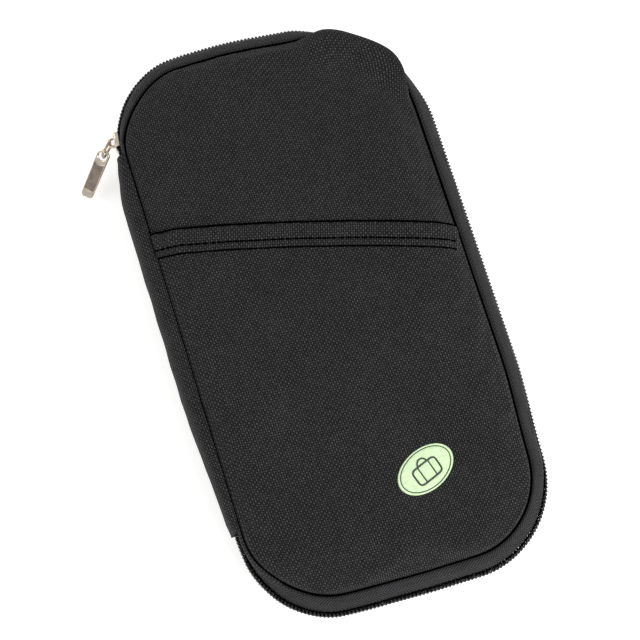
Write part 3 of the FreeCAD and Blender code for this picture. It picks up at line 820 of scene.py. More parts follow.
def mouth_y(x):
    """The bowed mouth line, as the parabola through its three points."""
    (x0, y0), (x1, y1), (x2, y2) = MOUTH
    slope = (y2 - y0) / (x2 - x0)
    sag = y1 - (y0 + slope * (x1 - x0))
    span = (x2 - x0) / 2
    return y0 + slope * (x - x0) + sag * (1 - ((x - x1) / span) ** 2)


def outline_bottom(x, inset):
    """The y of the covers' lower edge at x."""
    left, right, half = COVER_LEFT + inset, COVER_RIGHT - inset, COVER_HALF - inset
    r_left, r_right = COVER_CORNER_LEFT - inset, COVER_CORNER_RIGHT - inset
    if x < left + r_left:
        return -half + r_left - math.sqrt(max(0, r_left**2 - (left + r_left - x) ** 2))
    if x > right - r_right:
        return -half + r_right - math.sqrt(max(0, r_right**2 - (x - right + r_right) ** 2))
    return -half


def clustered(count, low, high, power=2.0):
    """Places from low to high, closer together near both ends."""
    t = np.linspace(-1, 1, count)
    warped = np.sign(t) * (1 - (1 - np.abs(t)) ** power)
    return (low + high) / 2 + warped * (high - low) / 2


def slip_pocket(ground):
    """The pocket's sheet, which stands a little off the cover along its mouth."""
    inset = 0.2
    columns, rows = 64, 90
    xs = clustered(columns, COVER_LEFT + inset, COVER_RIGHT - inset)
    points, uvs = [], []
    for x in xs:
        top, bottom = mouth_y(x), outline_bottom(x, inset)
        length = 0.0
        before = None
        for k in range(rows):
            t = 1 - (1 - k / (rows - 1))
            t = 0.5 * t + 0.5 * (1 - (1 - t) ** 2.2)
            y = top + (bottom - top) * t
            lift = CLOTH + 1.1 * math.exp(-(top - y) / 5)
            wx, wy = lean(x, y)
            point = ground.on(float(wx), float(wy), lift)
            length += 0 if before is None else np.linalg.norm(point - before)
            before = point
            points.append(point)
            uvs.append((x, top - length))
    faces = grid_faces(columns, rows, flip=True)
    piece = make_mesh("front_pocket", points, faces, uvs, oxford_front)
    return piece


def pocket_skirt(piece, columns=64, rows=90):
    """Tucks the pocket's sides and lower edge down into the seam."""
    mesh = bmesh.new()
    mesh.from_mesh(piece.data)
    mesh.verts.ensure_lookup_table()
    kept = {i * rows for i in range(1, columns - 1)}
    rim = [
        e for e in mesh.edges if e.is_boundary and not (e.verts[0].index in kept or e.verts[1].index in kept)
    ]
    grown = bmesh.ops.extrude_edge_only(mesh, edges=rim)
    for vert in (g for g in grown["geom"] if isinstance(g, bmesh.types.BMVert)):
        vert.co.z = (FRONT_SEAM_Z - 0.3) * MM
        vert.co.x *= 0.994
        vert.co.y *= 0.997
    bmesh.ops.recalc_face_normals(mesh, faces=mesh.faces)
    mesh.to_mesh(piece.data)
    mesh.free()


def mouth_frame(x):
    """A point of the mouth line and the direction across the hem, downwards."""
    slope = (mouth_y(x + 0.5) - mouth_y(x - 0.5))
    down = np.array([slope, -1.0]) / math.hypot(slope, 1.0)
    return np.array([x, mouth_y(x)]), down


HEM_SECTION = (
    (0.9, 0.0), (0.2, 0.15), (-0.2, 0.7), (-0.15, 1.3), (0.3, 1.75), (1.2, 2.0), (2.6, 2.1),
    (4.0, 2.05), (5.2, 1.9), (5.8, 1.6), (6.3, 1.15), (6.8, 1.6), (7.4, 1.95), (8.2, 1.9),
    (8.8, 1.6), (9.1, 1.1), (9.1, 0.6),
)


def hem_band(ground):
    """The folded band along the mouth, pulled in along its stitch line."""
    stations = clustered(150, COVER_LEFT + 0.1, COVER_RIGHT - 0.1, 1.6)
    points, uvs = [], []
    for x in stations:
        place, down = mouth_frame(x)
        pucker = 0.16 * math.cos(2 * math.pi * x / 3.2)
        drift = 0.25 * noise.noise(Vector((x / 11, 3.3, 0.0)))
        across = 0.0
        before = None
        for q, lift in HEM_SECTION:
            spot = place + down * (q + drift)
            near_stitch = math.exp(-((q - (HEM_WIDTH - STITCH_UP)) ** 2) / 0.8)
            wx, wy = lean(*spot)
            point = ground.on(float(wx), float(wy), lift + near_stitch * pucker)
            across += 0 if before is None else np.linalg.norm(point - before)
            before = point
            points.append(point)
            uvs.append((x * 1.035, across))
    faces = grid_faces(len(stations), len(HEM_SECTION), flip=True)
    return make_mesh("pocket_hem", points, faces, uvs, oxford_plain)


def stitch_row(path, ups, length=2.5, gap=0.7, radius=0.24, sink=0.25):
    """Separate stitches along a path; ups are the surface's normals at the path's points."""
    path, ups = np.asarray(path, float), np.asarray(ups, float)
    steps = np.linalg.norm(np.diff(path, axis=0), axis=1)
    travelled = np.concatenate([[0], np.cumsum(steps)])
    parts = []
    start = gap
    while start + length < travelled[-1]:
        spots = []
        for k in range(7):
            t = k / 6
            s = start + length * t
            place = np.array([np.interp(s, travelled, path[:, c]) for c in range(3)])
            up = np.array([np.interp(s, travelled, ups[:, c]) for c in range(3)])
            arch = math.sin(math.pi * t) ** 0.5
            spots.append(place + up * (arch * (radius + 0.12) - sink * (1 - arch)))
        parts.append(tube(spots, radius, sides=6))
        start += length + gap
    return parts


def hem_stitches(ground):
    path, ups = [], []
    for x in np.linspace(COVER_LEFT + 0.6, COVER_RIGHT - 0.2, 220):
        place, down = mouth_frame(x)
        spot = place + down * (HEM_WIDTH - STITCH_UP)
        wx, wy = lean(*spot)
        low, high = (ground.on(float(wx), float(wy), lift) for lift in (1.25, 2.25))
        path.append(low)
        ups.append(high - low)
    points, faces, uvs = join_parts(stitch_row(path, ups, gap=0.45, radius=0.32))
    return make_mesh("hem_stitches", points, faces, uvs, dark_thread_and_painted_shade)


def hem_edges(ground):
    """Near-black tubes that paint shade along the band: the shadow just above the pocket's mouth and the dark
    line under the band's lower edge.
    """
    parts = []
    for across, lift, radius in ((-0.7, 0.5, 0.55), (HEM_WIDTH + 0.4, 0.85, 0.38)):
        path = []
        for x in np.linspace(COVER_LEFT + 0.6, COVER_RIGHT - 0.4, 160):
            place, down = mouth_frame(x)
            wx, wy = lean(*(place + down * across))
            path.append(ground.on(float(wx), float(wy), lift))
        parts.append(tube(path, radius, sides=6))
    points, faces, uvs = join_parts(parts)
    return make_mesh("hem_edges", points, faces, uvs, dark_thread_and_painted_shade)


# ---------------------------------------------------------------- label
LABEL_RINGS = ((0.0, 0.55), (0.3, 0.55), (0.6, 0.55), (0.80, 0.55), (0.86, 0.52), (0.88, 0.42), (0.915, 0.42),
               (0.935, 0.55), (0.965, 0.6), (0.99, 0.45), (1.0, 0.1), (1.0, -0.4))


def label_frame():
    low, high = node_box("badge_label")
    centre = (low + high) / 2
    return centre[:2], math.radians(20.0), (12.75, 8.0)


def on_label(ground, s, t, lift):
    """A point of the label: s and t run from -1 to 1 along its long and short axes."""
    centre, tilt, (half_long, half_short) = label_frame()
    x, y = s * half_long, t * half_short
    wx, wy = lean(
        centre[0] + x * math.cos(tilt) - y * math.sin(tilt),
        centre[1] + x * math.sin(tilt) + y * math.cos(tilt),
    )
    return ground.on(float(wx), float(wy), lift)


def badge(ground):
    """An oval patch with a pressed line inside its rim."""
    sides = 72
    points, uvs = [], []
    for k in range(sides):
        a = 2 * math.pi * k / sides
        for r, lift in LABEL_RINGS:
            s, t = r * math.cos(a), r * math.sin(a)
            points.append(on_label(ground, s, t, CLOTH + lift + 0.25 * (1 - r * r)))
            uvs.append((s * 12.75, t * 8.0))
    piece = make_mesh("badge", points, grid_faces(sides, len(LABEL_RINGS), around=True), uvs, patch_green)
    return weld(piece)


def badge_line(ground):
    """The dark line pressed into the patch."""
    path = []
    for k in range(96):
        a = 2 * math.pi * k / 96
        path.append(on_label(ground, 0.9 * math.cos(a), 0.9 * math.sin(a), CLOTH + 0.5))
    points, faces, uvs = tube(path, 0.2, sides=6, closed=True)
    return make_mesh("badge_line", points, faces, uvs, patch_ink)


def badge_motif(ground):
    """A plain suitcase: a rounded body with two straps, and a handle."""
    def stroke(outline, radius, closed):
        path = [on_label(ground, s, t, CLOTH + 0.85) for s, t in outline]
        return tube(path, radius, sides=6, closed=closed)

    body = []
    for k in range(64):
        a = 2 * math.pi * k / 64
        c, s = math.cos(a), math.sin(a)
        body.append(
            (0.44 * math.copysign(abs(c) ** 0.35, c), -0.12 + 0.42 * math.copysign(abs(s) ** 0.35, s))
        )
    handle = [(0.17 * math.cos(a), 0.30 + 0.26 * math.sin(a)) for a in np.linspace(0, math.pi, 14)]
    strokes = [stroke(body, 0.34, True), stroke(handle, 0.30, False)]
    for s in (-0.2, 0.2):
        strokes.append(stroke([(s, t) for t in np.linspace(-0.5, 0.27, 12)], 0.26, False))
    points, faces, uvs = join_parts(strokes)
    return make_mesh("badge_motif", points, faces, uvs, patch_ink)


# ---------------------------------------------------------------- zipper
def tape(name, side, seam_z, seam):
    """One half of the zipper tape, from behind the coil to the cover's seam, swelling outwards a little."""
    spots = np.linspace(0, zipper_line.length, 380)
    places, outward = zipper_line.at(spots)
    ends = nearest(places, seam)
    points, uvs = [], []
    for s, place, out, end in zip(spots, places, outward, ends):
        inner = place - out * 1.9
        knee = place - out * 2.1
        over = 0.7 * float(smooth((place[0] - 40) / 18) * smooth((place[1] + 75) / 50))
        over -= 3.2 * float(smooth((-place[1] - 80) / 22)) + 0.7 * float(smooth((20 - place[0]) / 30))
        slack = 0.5 * noise.noise(Vector((s / 17, 2.0 + side, 0.0)))
        top = np.array([*(end + out * 1.1), seam_z + side * 0.25])
        profile = [
            np.array([*inner, MID_Z + side * 0.5]),
            np.array([*knee, MID_Z + side * 2.4]),
        ]
        begin = np.array([*(place - out * 1.5), MID_Z + side * 3.0])
        control = np.array([*(place + out * (0.6 + slack + over)), MID_Z + side * 5.6])
        for t in np.linspace(0, 1, 9):
            bend = begin * (1 - t) ** 2 + control * 2 * t * (1 - t) + top * t * t
            ripple = 0.22 * noise.noise(Vector((s / 6, 9 * t, 7.0 * side))) * math.sin(math.pi * t)
            profile.append(bend + np.array([*out, 0.6 * side]) * ripple)
        profile.append(top + np.array([*(out * 0.25), -side * 0.35]))
        profile.append(top + np.array([*(-out * 0.35), -side * 1.1]))
        profile.append(top + np.array([*(-out * 1.1), -side * 1.2]))
        across = 0.0
        before = profile[0]
        for point in profile:
            across += np.linalg.norm(point - before)
            before = point
            points.append(point)
            uvs.append((s, across))
    columns = len(points) // len(spots)
    piece = make_mesh(name, points, grid_faces(len(spots), columns, flip=side < 0), uvs, tape_cloth)
    thicken(piece, 0.5)
    return piece


def thicken(piece, thickness, offset=-1.0):
    modifier = piece.modifiers.new("thickness", "SOLIDIFY")
    modifier.thickness = thickness * MM
    modifier.offset = offset
    apply_modifiers(piece)


def coil(name, places, outward, across, side, size=1.0):
    """Half a moulded coil along places: loops whose heads reach between those of the other half."""
    per_turn = 10
    steps = np.linalg.norm(np.diff(places, axis=0), axis=1)
    distance = np.concatenate([[0], np.cumsum(steps)])
    pitch = COIL_PITCH * size
    turns = int(distance[-1] / pitch)
    angle = np.arange(turns * per_turn) * 2 * math.pi / per_turn
    spots = angle / (2 * math.pi) * pitch
    middle = np.stack([np.interp(spots, distance, places[:, k]) for k in range(3)], 1)
    out = np.stack([np.interp(spots, distance, outward[:, k]) for k in range(3)], 1)
    turn = angle + (math.pi if side < 0 else 0.0)
    depth = size * (0.55 - 0.72 * np.cos(turn))
    rise = side * size * (1.15 + 1.45 * np.sin(turn))
    path = middle - out * depth[:, None] + np.asarray(across) * rise[:, None]
    points, faces, uvs = tube(path, 0.38 * size, sides=6)
    return make_mesh(name, points, faces, uvs, coil_nylon)


def main_coil(name, side):
    places, outward = zipper_line.at(np.linspace(0, zipper_line.length, 1200))
    level = np.full((len(places), 1), MID_Z)
    return coil(name, np.hstack([places, level]), np.hstack([outward, level * 0]), (0, 0, 1), side)


def tape_stitches(name, side):
    """The line of thread that holds the coil to its tape."""
    spots = np.linspace(0, zipper_line.length, 420)
    places, outward = zipper_line.at(spots)
    path = np.column_stack([places - outward * 1.25, np.full(len(spots), MID_Z + side * 3.15)])
    ups = np.column_stack([outward, np.full(len(spots), side * 0.25)])
    points, faces, uvs = join_parts(stitch_row(path, ups, 1.9, 0.5, 0.22, 0.15))
    return make_mesh(name, points, faces, uvs, dark_thread_and_painted_shade)


def seam_shadow(name, seam_z, side):
    """A near-black tube at the bottom of a cover's seam: partly its close stitches, partly painted shade in the
    groove.
    """
    line = seam_line(0.1)
    spots = np.linspace(0, line.length, 900, endpoint=False)
    places, outward = line.at(spots)
    points = np.column_stack([places + outward * 0.25, np.full(len(spots), seam_z - side * 0.7)])
    points[:, 2] += 0.08 * np.cos(spots * 2 * math.pi / 2.4)
    tubes, faces, uvs = tube(points, 0.7, sides=8, closed=True)
    return make_mesh(name, tubes, faces, uvs, dark_thread_and_painted_shade)


def spine():
    """The strip of cloth round the spine, full in its middle and drawn in at its ends."""
    rows, columns = 120, 25
    bottom, top = SPINE_BOTTOM_Y, SPINE_TOP_Y
    points, uvs = [], []
    for y in clustered(rows, bottom, top, 1.6):
        end = min(y - bottom, top - y)
        slump = 2.6 * smooth((-y - 15) / 60)
        narrow = 0.66 + 0.34 * smooth((top - y) / 22)
        full = (-SPINE_X + COVER_LEFT - slump) * narrow * (0.85 + 0.15 * smooth(end / 6))
        travelled = 0.0
        before = None
        for k in range(columns):
            t = k / (columns - 1)
            a = -1.72 + 3.62 * t
            wrinkle = 0.28 * noise.noise(Vector((y / 9, 4 * t, 11.0))) * math.sin(math.pi * t)
            x = COVER_LEFT - 0.35 - (full - 0.35 + wrinkle) * max(0.0, math.cos(a)) ** 0.6
            height = BACK_SEAM_Z - 0.2 + (FRONT_SEAM_Z - BACK_SEAM_Z + 0.6) * (0.5 + 0.5 * math.sin(a))
            slant = 2.5 * smooth((0.5 - t) * 2) * smooth((bottom + 25 - y) / 25)
            point = np.array([x, y + slant, height])
            travelled += 0 if before is None else np.linalg.norm(point - before)
            before = point
            points.append(point)
            uvs.append((travelled, y))
    piece = make_mesh("spine_cloth", points, grid_faces(rows, columns), uvs, oxford_plain)
    thicken(piece, 0.9)
    return weld(piece)


# ---------------------------------------------------------------- slider and pull
def arc_points(centre, radius, start, end, count):
    return [
        (centre[0] + radius * math.cos(math.radians(a)), centre[1] + radius * math.sin(math.radians(a)))
        for a in np.linspace(start, end, count)
    ]


SLIDER_ANGLE = 174.5
SLIDER_DRAWN_IN = 0.6         # it follows the zipper where the corner is drawn in
PLATE_OUT = 0.9               # middle of the outer plate, outside the zipper line
PULL_HEADING, PULL_SLOPE = 225.0, 33.0
LINK_LENGTH, LINK_HALF_HEIGHT, LINK_WIRE = 6.1, 3.05, 0.5
TAB_HALF, TAB_LENGTH, TAB_THICK, TAB_HOLE = 2.8, 18.75, 1.2, 1.8


def bend_round_corner(piece):
    """Bends a straight slider part round the corner that it parks on, then puts it in place."""
    for vertex in piece.data.vertices:
        along, up, out = (c / MM for c in vertex.co)
        a = math.radians(SLIDER_ANGLE) - along / ZIP_CORNER_LEFT
        radius = ZIP_CORNER_LEFT + out - SLIDER_DRAWN_IN
        x, y = zip_left[0] + radius * math.cos(a), zip_left[1] + radius * math.sin(a)
        vertex.co = Vector((x, y, MID_Z + up)) * MM
    piece.data.update()


def slider_outline(nose, tail):
    """A slider plate seen from outside: a wide shouldered end for two coils and a narrower one."""
    half = 3.45
    points = arc_points((-half + 1.4, 2.35), 1.5, 180, 100, 6)
    points += arc_points((-0.4, 2.2), nose, 95, 60, 4)
    points += arc_points((half - 1.3, 1.75), tail, 75, 0, 6)
    mirrored = [(x, -y) for x, y in reversed(points)]
    return points + mirrored


def zipper_slider():
    plates = []
    for middle, thickness in ((PLATE_OUT, 1.1), (-3.2, 1.1)):
        piece = plate("slider_part", slider_outline(1.75, 1.5), thickness, 0.4, gold)
        subdivide_flat(piece)
        piece.data.transform(Matrix.Translation((0, 0, middle * MM)))
        bend_round_corner(piece)
        plates.append(piece)
    for side in (-1, 1):
        rail = plate("slider_part", [(-3.1, -0.42), (3.1, -0.42), (3.1, 0.42), (-3.1, 0.42)], 1.9, 0.3, gold)
        rail.data.transform(Matrix.Translation((0, side * 3.45 * MM, 0.1 * MM)))
        bend_round_corner(rail)
        plates.append(rail)
    post = plate("slider_part", arc_points((-2.4, 0), 0.9, 0, 340, 14), 4.6, 0.12, gold)
    post.data.transform(Matrix.Scale(0.38, 4, (0, 1, 0)))
    post.data.transform(Matrix.Translation((0, 0, -1.1 * MM)))
    bend_round_corner(post)
    plates.append(post)
    plates.append(bridge())
    return merge(plates, "zip_slider")


def subdivide_flat(piece):
    """Adds points across a plate, so that it can bend."""
    mesh = bmesh.new()
    mesh.from_mesh(piece.data)
    bmesh.ops.subdivide_edges(mesh, edges=mesh.edges, cuts=1, use_grid_fill=True)
    mesh.to_mesh(piece.data)
    mesh.free()


def bridge():
    """The arched bridge on the outer plate that the link passes through."""
    foot, rise, half = PLATE_OUT + 0.2, 2.6, 1.6
    path = [(-half, 0, foot - 0.3)]
    for a in np.linspace(0, math.pi, 20):
        path.append((-half * math.cos(a), 0, foot + rise * math.sin(a) ** 0.6))
    path.append((half, 0, foot - 0.3))
    points, faces, uvs = tube(path, 0.62, sides=10)
    points[:, 1] *= 1.7
    piece = make_mesh("slider_part", points, faces, uvs, gold)
    bend_round_corner(piece)
    return piece


def pull_base():
    """The link's pin, in the bridge, and the tab's hole."""
    joints = {joint["name"]: joint for joint in frame["joints"]}
    pin = Vector(joints["pull_swing"]["pos_m"]) / MM
    hole = Vector(joints["tab_lift"]["pos_m"]) / MM
    return pin, hole


def wire_link():
    """A closed loop of wire with round corners, upright between the bridge and the tab."""
    pin, hole = pull_base()
    ahead = (hole - pin).normalized()
    h, b, far = LINK_HALF_HEIGHT, 1.2, LINK_LENGTH
    corners = [
        ((b, h - b), 180, 90), ((far - b, h - b), 90, 0), ((far - b, b - h), 0, -90),
        ((b, b - h), -90, -180)
    ]
    path = []
    for centre, start, end in corners:
        for along, up in arc_points(centre, b, start, end, 9):
            path.append(np.array(pin + ahead * along + Vector((0, 0, up))))
    points, faces, uvs = tube(path, LINK_WIRE, sides=12, closed=True)
    return make_mesh("link_loop", points, faces, uvs, gold_painted_dark)


def tab_outline():
    """The tab seen from above: a round head, straight sides, and a squarer tip with round corners."""
    corner = 1.5
    points = arc_points((0, 0), TAB_HALF, 100, 260, 20)
    points += arc_points((TAB_LENGTH - corner, corner - TAB_HALF + 0.2), corner, -88, -8, 9)
    points += arc_points((TAB_LENGTH - corner, TAB_HALF - corner - 0.2), corner, 8, 88, 9)
    return points


def pull_tab():
    """The flat tab with its hole, and a brushed panel sunk into its face."""
    hole_ring = arc_points((0, 0), TAB_HOLE, 0, 345, 24)
    body = plate("tab_body", tab_outline(), TAB_THICK, 0.36, gold, holes=[hole_ring])
    panel_line = panel_outline(3.9, TAB_LENGTH - 3.6, TAB_HALF - 0.7)
    rim_line = panel_outline(3.55, TAB_LENGTH - 3.25, TAB_HALF - 0.35)
    parts = []
    for side in (-1, 1):
        inlay = plate("tab_inlay", panel_line, 0.12, 0.04, gold_brushed)
        inlay.data.transform(Matrix.Translation((0, 0, side * (TAB_THICK / 2 + 0.02) * MM)))
        ring = plate("tab_ring", rim_line, 0.3, 0.12, gold, holes=[panel_line])
        ring.data.transform(Matrix.Translation((0, 0, side * (TAB_THICK / 2 + 0.1) * MM)))
        parts.extend((inlay, ring))
    piece = merge([body, *parts], "tab")
    _, hole = pull_base()
    turn = Matrix.Rotation(math.radians(PULL_HEADING), 4, "Z")
    slope = Matrix.Rotation(math.radians(PULL_SLOPE), 4, "Y")
    piece.data.transform(Matrix.Translation(hole * MM) @ turn @ slope)
    return piece


def panel_outline(start, end, half):
    """A long panel with square corners at its tip and a hollow end that follows the hole."""
    reach = math.degrees(math.asin(half / start))
    points = arc_points((0, 0), start, reach, -reach, 9)
    points += arc_points((end - 0.4, 0.4 - half), 0.4, -90, 0, 4)
    points += arc_points((end - 0.4, half - 0.4), 0.4, 0, 90, 4)
    return points


# ---------------------------------------------------------------- inside
def lining(name, z, side, material):
    """The lining of a cover, slightly puffed between its seams. side is 1 where it faces up."""
    grid = CoverGrid(0.6)
    x, y = grid.plan[:, 0], grid.plan[:, 1]
    puff = 0.35 * smooth(grid.away / 10) + 0.2 * waves(x, y, 26, 4.0 + side) * smooth(grid.away / 6)
    height = z - side * 0.35 + side * puff
    plan = np.stack(lean(x, y), 1)
    faces = grid.faces if side > 0 else [face[::-1] for face in grid.faces]
    piece = make_mesh(name, np.column_stack([plan, height]), faces, grid.plan, material)
    thicken(piece, 0.3)
    return piece


def edge_binding(name, z, side):
    """The folded tape that covers the raw edges of a cover's seam on the inside."""
    line = seam_line(1.6)
    spots = np.linspace(0, line.length, 420, endpoint=False)
    places, outward = line.at(spots)
    section = [(2.1, -0.9), (2.2, 0.1), (1.5, 0.75), (0.3, 0.95), (-0.9, 0.8), (-1.7, 0.35), (-1.9, -0.5)]
    points, uvs = [], []
    for s, place, out in zip(spots, places, outward):
        pucker = 0.08 * noise.noise(Vector((s / 3, side, 2.0)))
        for k, (u, up) in enumerate(section):
            points.append([*(place + out * u), z + side * (up + pucker * (0 < k < 6))])
            uvs.append((s, 1.2 * k))
    faces = grid_faces(len(spots), len(section), around=True, flip=side > 0)
    return make_mesh(name, points, faces, uvs, binding_cloth)


def inner_sheet(name, box, base, side, material, lift, thick=0.35, hem=0.0, recess=None, seed=1.0):
    """A sewn inner sheet over (left, right, bottom, top), lift above base, with a folded top edge if hem."""
    left, right, bottom, top = box
    nx = max(14, int((right - left) / 1.8))
    ny = max(10, int((top - bottom) / 1.8))
    points, uvs = [], []
    for x in clustered(nx, left, right, 1.5):
        low = max(bottom, outline_bottom(x, INNER_INSET))
        for y in clustered(ny, low, top, 1.5):
            edge = min(x - left, right - x, y - low, (top - y) if not hem else 99.0)
            held = float(smooth(edge / 3.0))
            swell = 0.16 * noise.noise(Vector((x / 14, y / 9, seed))) * held
            folded = 0.28 * float(smooth((y - (top - hem)) / 0.5)) if hem else 0.0
            sunk = 0.7 * float(
                smooth((y - recess[0]) / 0.4) * smooth((recess[1] - y) / 0.4)
            ) if recess else 0.0
            wx, wy = lean(x, y)
            rise = 0.1 + (lift - 0.1 - sunk) * held + swell + folded
            points.append([float(wx), float(wy), base + side * rise])
            uvs.append((x, y))
    piece = make_mesh(name, points, grid_faces(nx, ny, flip=side > 0), uvs, material)
    thicken(piece, thick)
    return piece


def inner_stitches(name, runs, level, side, length=2.2, gap=0.7):
    """Rows of stitches along straight runs over an inner sheet, at the given level."""
    parts = []
    for (x0, y0), (x1, y1) in runs:
        path = [(x0 + (x1 - x0) * t, y0 + (y1 - y0) * t, level) for t in np.linspace(0, 1, 40)]
        parts.extend(stitch_row(path, [(0, 0, side)] * 40, length, gap, 0.18, 0.2))
    points, faces, uvs = join_parts(parts)
    return make_mesh(name, points, faces, uvs, sewing_thread)


def window_frame(name, outer, border, base, side, material):
    """A sewn frame round a clear window, with rolled inner and outer edges."""
    left, right, bottom, top = outer
    section = ((0, 0.05), (0.3, 0.45), (1.2, 0.6), (border / 2, 0.55), (border - 1.4, 0.62), (border - 0.3, 0.5),
               (border, 0.15))
    corners = ((right, top, 0), (left, top, 90), (left, bottom, 180), (right, bottom, 270))
    radius = 3.0
    points, uvs = [], []
    for cx, cy, start in corners:
        inward = (-1 if cx == right else 1, -1 if cy == top else 1)
        for a in np.linspace(start, start + 90, 10):
            c, s = math.cos(math.radians(a)), math.sin(math.radians(a))
            for across, lift in section:
                reach = max(radius, across + 0.5)
                x = cx + inward[0] * reach + c * (reach - across)
                y = cy + inward[1] * reach + s * (reach - across)
                points.append([x, y, base + side * lift])
                uvs.append((x, y))
    faces = grid_faces(40, len(section), around=True, flip=side < 0)
    piece = make_mesh(name, points, faces, uvs, material)
    thicken(piece, 0.3)
    return piece


# ---------------------------------------------------------------- camera, light and floor
def look():
    """The camera at the angle from which the case is shown, and soft daylight from all round."""
    scene = bpy.context.scene
    camera = bpy.data.objects.new("camera", bpy.data.cameras.new("camera"))
    scene.collection.objects.link(camera)
    right, up, back = Vector((0.954, -0.2995, 0.016)), Vector((0.287, 0.927, 0.241)), Vector(
        (-0.0872, -0.2250, 0.9705)
    )
    matrix = Matrix([[axis[row] for axis in (right, up, back)] for row in range(3)]).to_4x4()
    matrix.translation = Vector((-72.1, -181.2, 776.4)) * MM
    camera.matrix_world = matrix
    camera.data.lens = 112.5
    camera.data.sensor_width = 36.0
    scene.camera = camera
    scene.view_settings.view_transform = "Standard"

    world = bpy.data.worlds.new("studio")
    world.use_nodes = True
    world.node_tree.nodes["Background"].inputs["Color"].default_value = (1, 1, 1, 1)
    world.node_tree.nodes["Background"].inputs["Strength"].default_value = 0.62
    scene.world = world

    for name, place, size, power in (
        ("key", (0.42, -0.62, 0.72), 0.45, 9.0),
        ("fill", (-0.55, 0.45, 0.6), 0.6, 2.2),
    ):
        lamp = bpy.data.lights.new(name, "AREA")
        lamp.energy, lamp.size = power, size
        holder = bpy.data.objects.new(name, lamp)
        holder.location = place
        holder.rotation_euler = (-Vector(place)).to_track_quat("-Z", "Y").to_euler()
        scene.collection.objects.link(holder)

    bpy.ops.mesh.primitive_plane_add(size=6.0, location=(0, 0, -0.0002))
    floor = bpy.context.object
    floor.name = "floor"
    n = Nodes("paper")
    n.set(Base_Color=(0.9, 0.9, 0.9, 1.0), Roughness=0.9, Specular_IOR_Level=0.1)
    n.set(Emission_Color=(1.0, 0.99, 0.97, 1.0), Emission_Strength=0.5)
    floor.data.materials.append(n.material)


look()

# ---------------------------------------------------------------- front cover
front_panel = padded_cover("front_panel", front_height, FRONT_LINING_Z + 0.7, oxford_upper, True)
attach(front_panel, "front_cover")
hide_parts("front_outer_fabric", "front_foam_board")

cover_ground = Ground(front_panel)
pocket = slip_pocket(cover_ground)
pocket_skirt(pocket)
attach(pocket, "front_cover")
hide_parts("slip_pocket_panel")

hem = hem_band(cover_ground)
stitches = hem_stitches(cover_ground)
for piece in (hem, stitches, hem_edges(cover_ground)):
    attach(piece, "front_cover")
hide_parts("slip_pocket_hem")

patch = badge(cover_ground)
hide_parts("badge_label")
for piece in (patch, badge_line(cover_ground), badge_motif(cover_ground)):
    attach(piece, "front_cover")

# ---------------------------------------------------------------- back cover
back_panel = padded_cover("back_panel", back_height, BACK_LINING_Z - 0.7, oxford_plain, False)
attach(back_panel, "back_cover")
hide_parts("back_outer_fabric", "back_foam_board")

# ---------------------------------------------------------------- zipper round the edge
outer_seam = seam_line(0.4)
for word, side, seam_z in (("back", -1, BACK_SEAM_Z), ("front", 1, FRONT_SEAM_Z)):
    cloth_tape = tape(word + "_tape", side, seam_z, outer_seam)
    teeth = main_coil(word + "_coil", side)
    sewn = tape_stitches(word + "_tape_stitches", side)
    for piece in (cloth_tape, teeth, sewn):
        if word == "back":
            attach(piece, "back_cover")
        else:
            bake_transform(piece)
    if word == "back":
        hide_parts("back_zipper_tape")
        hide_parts("back_zipper_coil")
    else:
        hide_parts("front_zipper_tape", "front_zipper_end_top", "front_zipper_end_bottom")
        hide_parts("front_zipper_coil")

for word, body, seam_z, side in (
    ("back", "back_cover", BACK_SEAM_Z, -1),
    ("front", "front_cover", FRONT_SEAM_Z, 1),
):
    # Near-black tubes in the covers' seams: their stitches and painted shade in the groove.
    seam_stitches_and_shade = seam_shadow(word + "_seam", seam_z, side)
    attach(seam_stitches_and_shade, body)

strip = spine()
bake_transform(strip)
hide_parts("spine_strip")

# ---------------------------------------------------------------- slider and pull
for piece, body, node in (
    (zipper_slider(), "slider", "slider"),
    (wire_link(), "pull_link", "pull_link"),
    (pull_tab(), "pull_tab", "pull_tab"),
):
    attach(piece, body)
    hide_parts(node)

# ---------------------------------------------------------------- inside of the back cover
def laid_in(piece, body, slot, flat, *nodes, area=None):
    """Attaches an inner piece to its body and hides the CAD nodes it stands for; its finish and a sheet's cut
    size are not used.
    """
    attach(piece, body)
    if nodes:
        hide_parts(*nodes)


back_lining = lining("back_inner_cloth", BACK_LINING_Z, 1, lining_cloth)
laid_in(back_lining, "back_cover", "lining_cloth", (0.113, 0.218), "back_lining")
back_edge = edge_binding("back_binding", BACK_LINING_Z, 1)
laid_in(back_edge, "back_cover", "binding_tape", None)

low, high = node_box("ticket_pocket")
ticket = inner_sheet(
    "ticket_sheet", (
        low[0], high[0], low[1], high[1]
    ), low[2] - 0.05, 1, pocket_cloth, 0.40, hem=6.0, seed=2.0
)
laid_in(ticket, "back_cover", "lining_cloth", (0.107, 0.168), "ticket_pocket")
low, high = node_box("passport_pocket")
passport = inner_sheet(
    "passport_sheet", (
        low[0], high[0], low[1], high[1]
    ), low[2] + 0.15, 1, pocket_cloth, 0.45, seed=3.0, hem=1.0
)
laid_in(passport, "back_cover", "lining_cloth", (0.107, 0.118), "passport_pocket")
low, high = node_box("passport_pocket_binding")
mouth_tape = inner_sheet(
    "passport_mouth_tape", (
        low[0], high[0], low[1], high[1]
    ), low[2] + 0.1, 1, binding_cloth, 0.75, thick=0.45
)
laid_in(mouth_tape, "back_cover", "binding_tape", None, "passport_pocket_binding")
back_rows = [
    ((low[0] + 1.5, low[1] + 0.9), (high[0] - 1.5, low[1] + 0.9)),
    ((-51.5, 56.5), (52.0, 56.5)),
]
back_sewing = inner_stitches("back_inner_stitches", back_rows[:1], low[2] + 0.95, 1)
ticket_sewing = inner_stitches("ticket_stitches", back_rows[1:], BACK_LINING_Z + 0.75, 1)
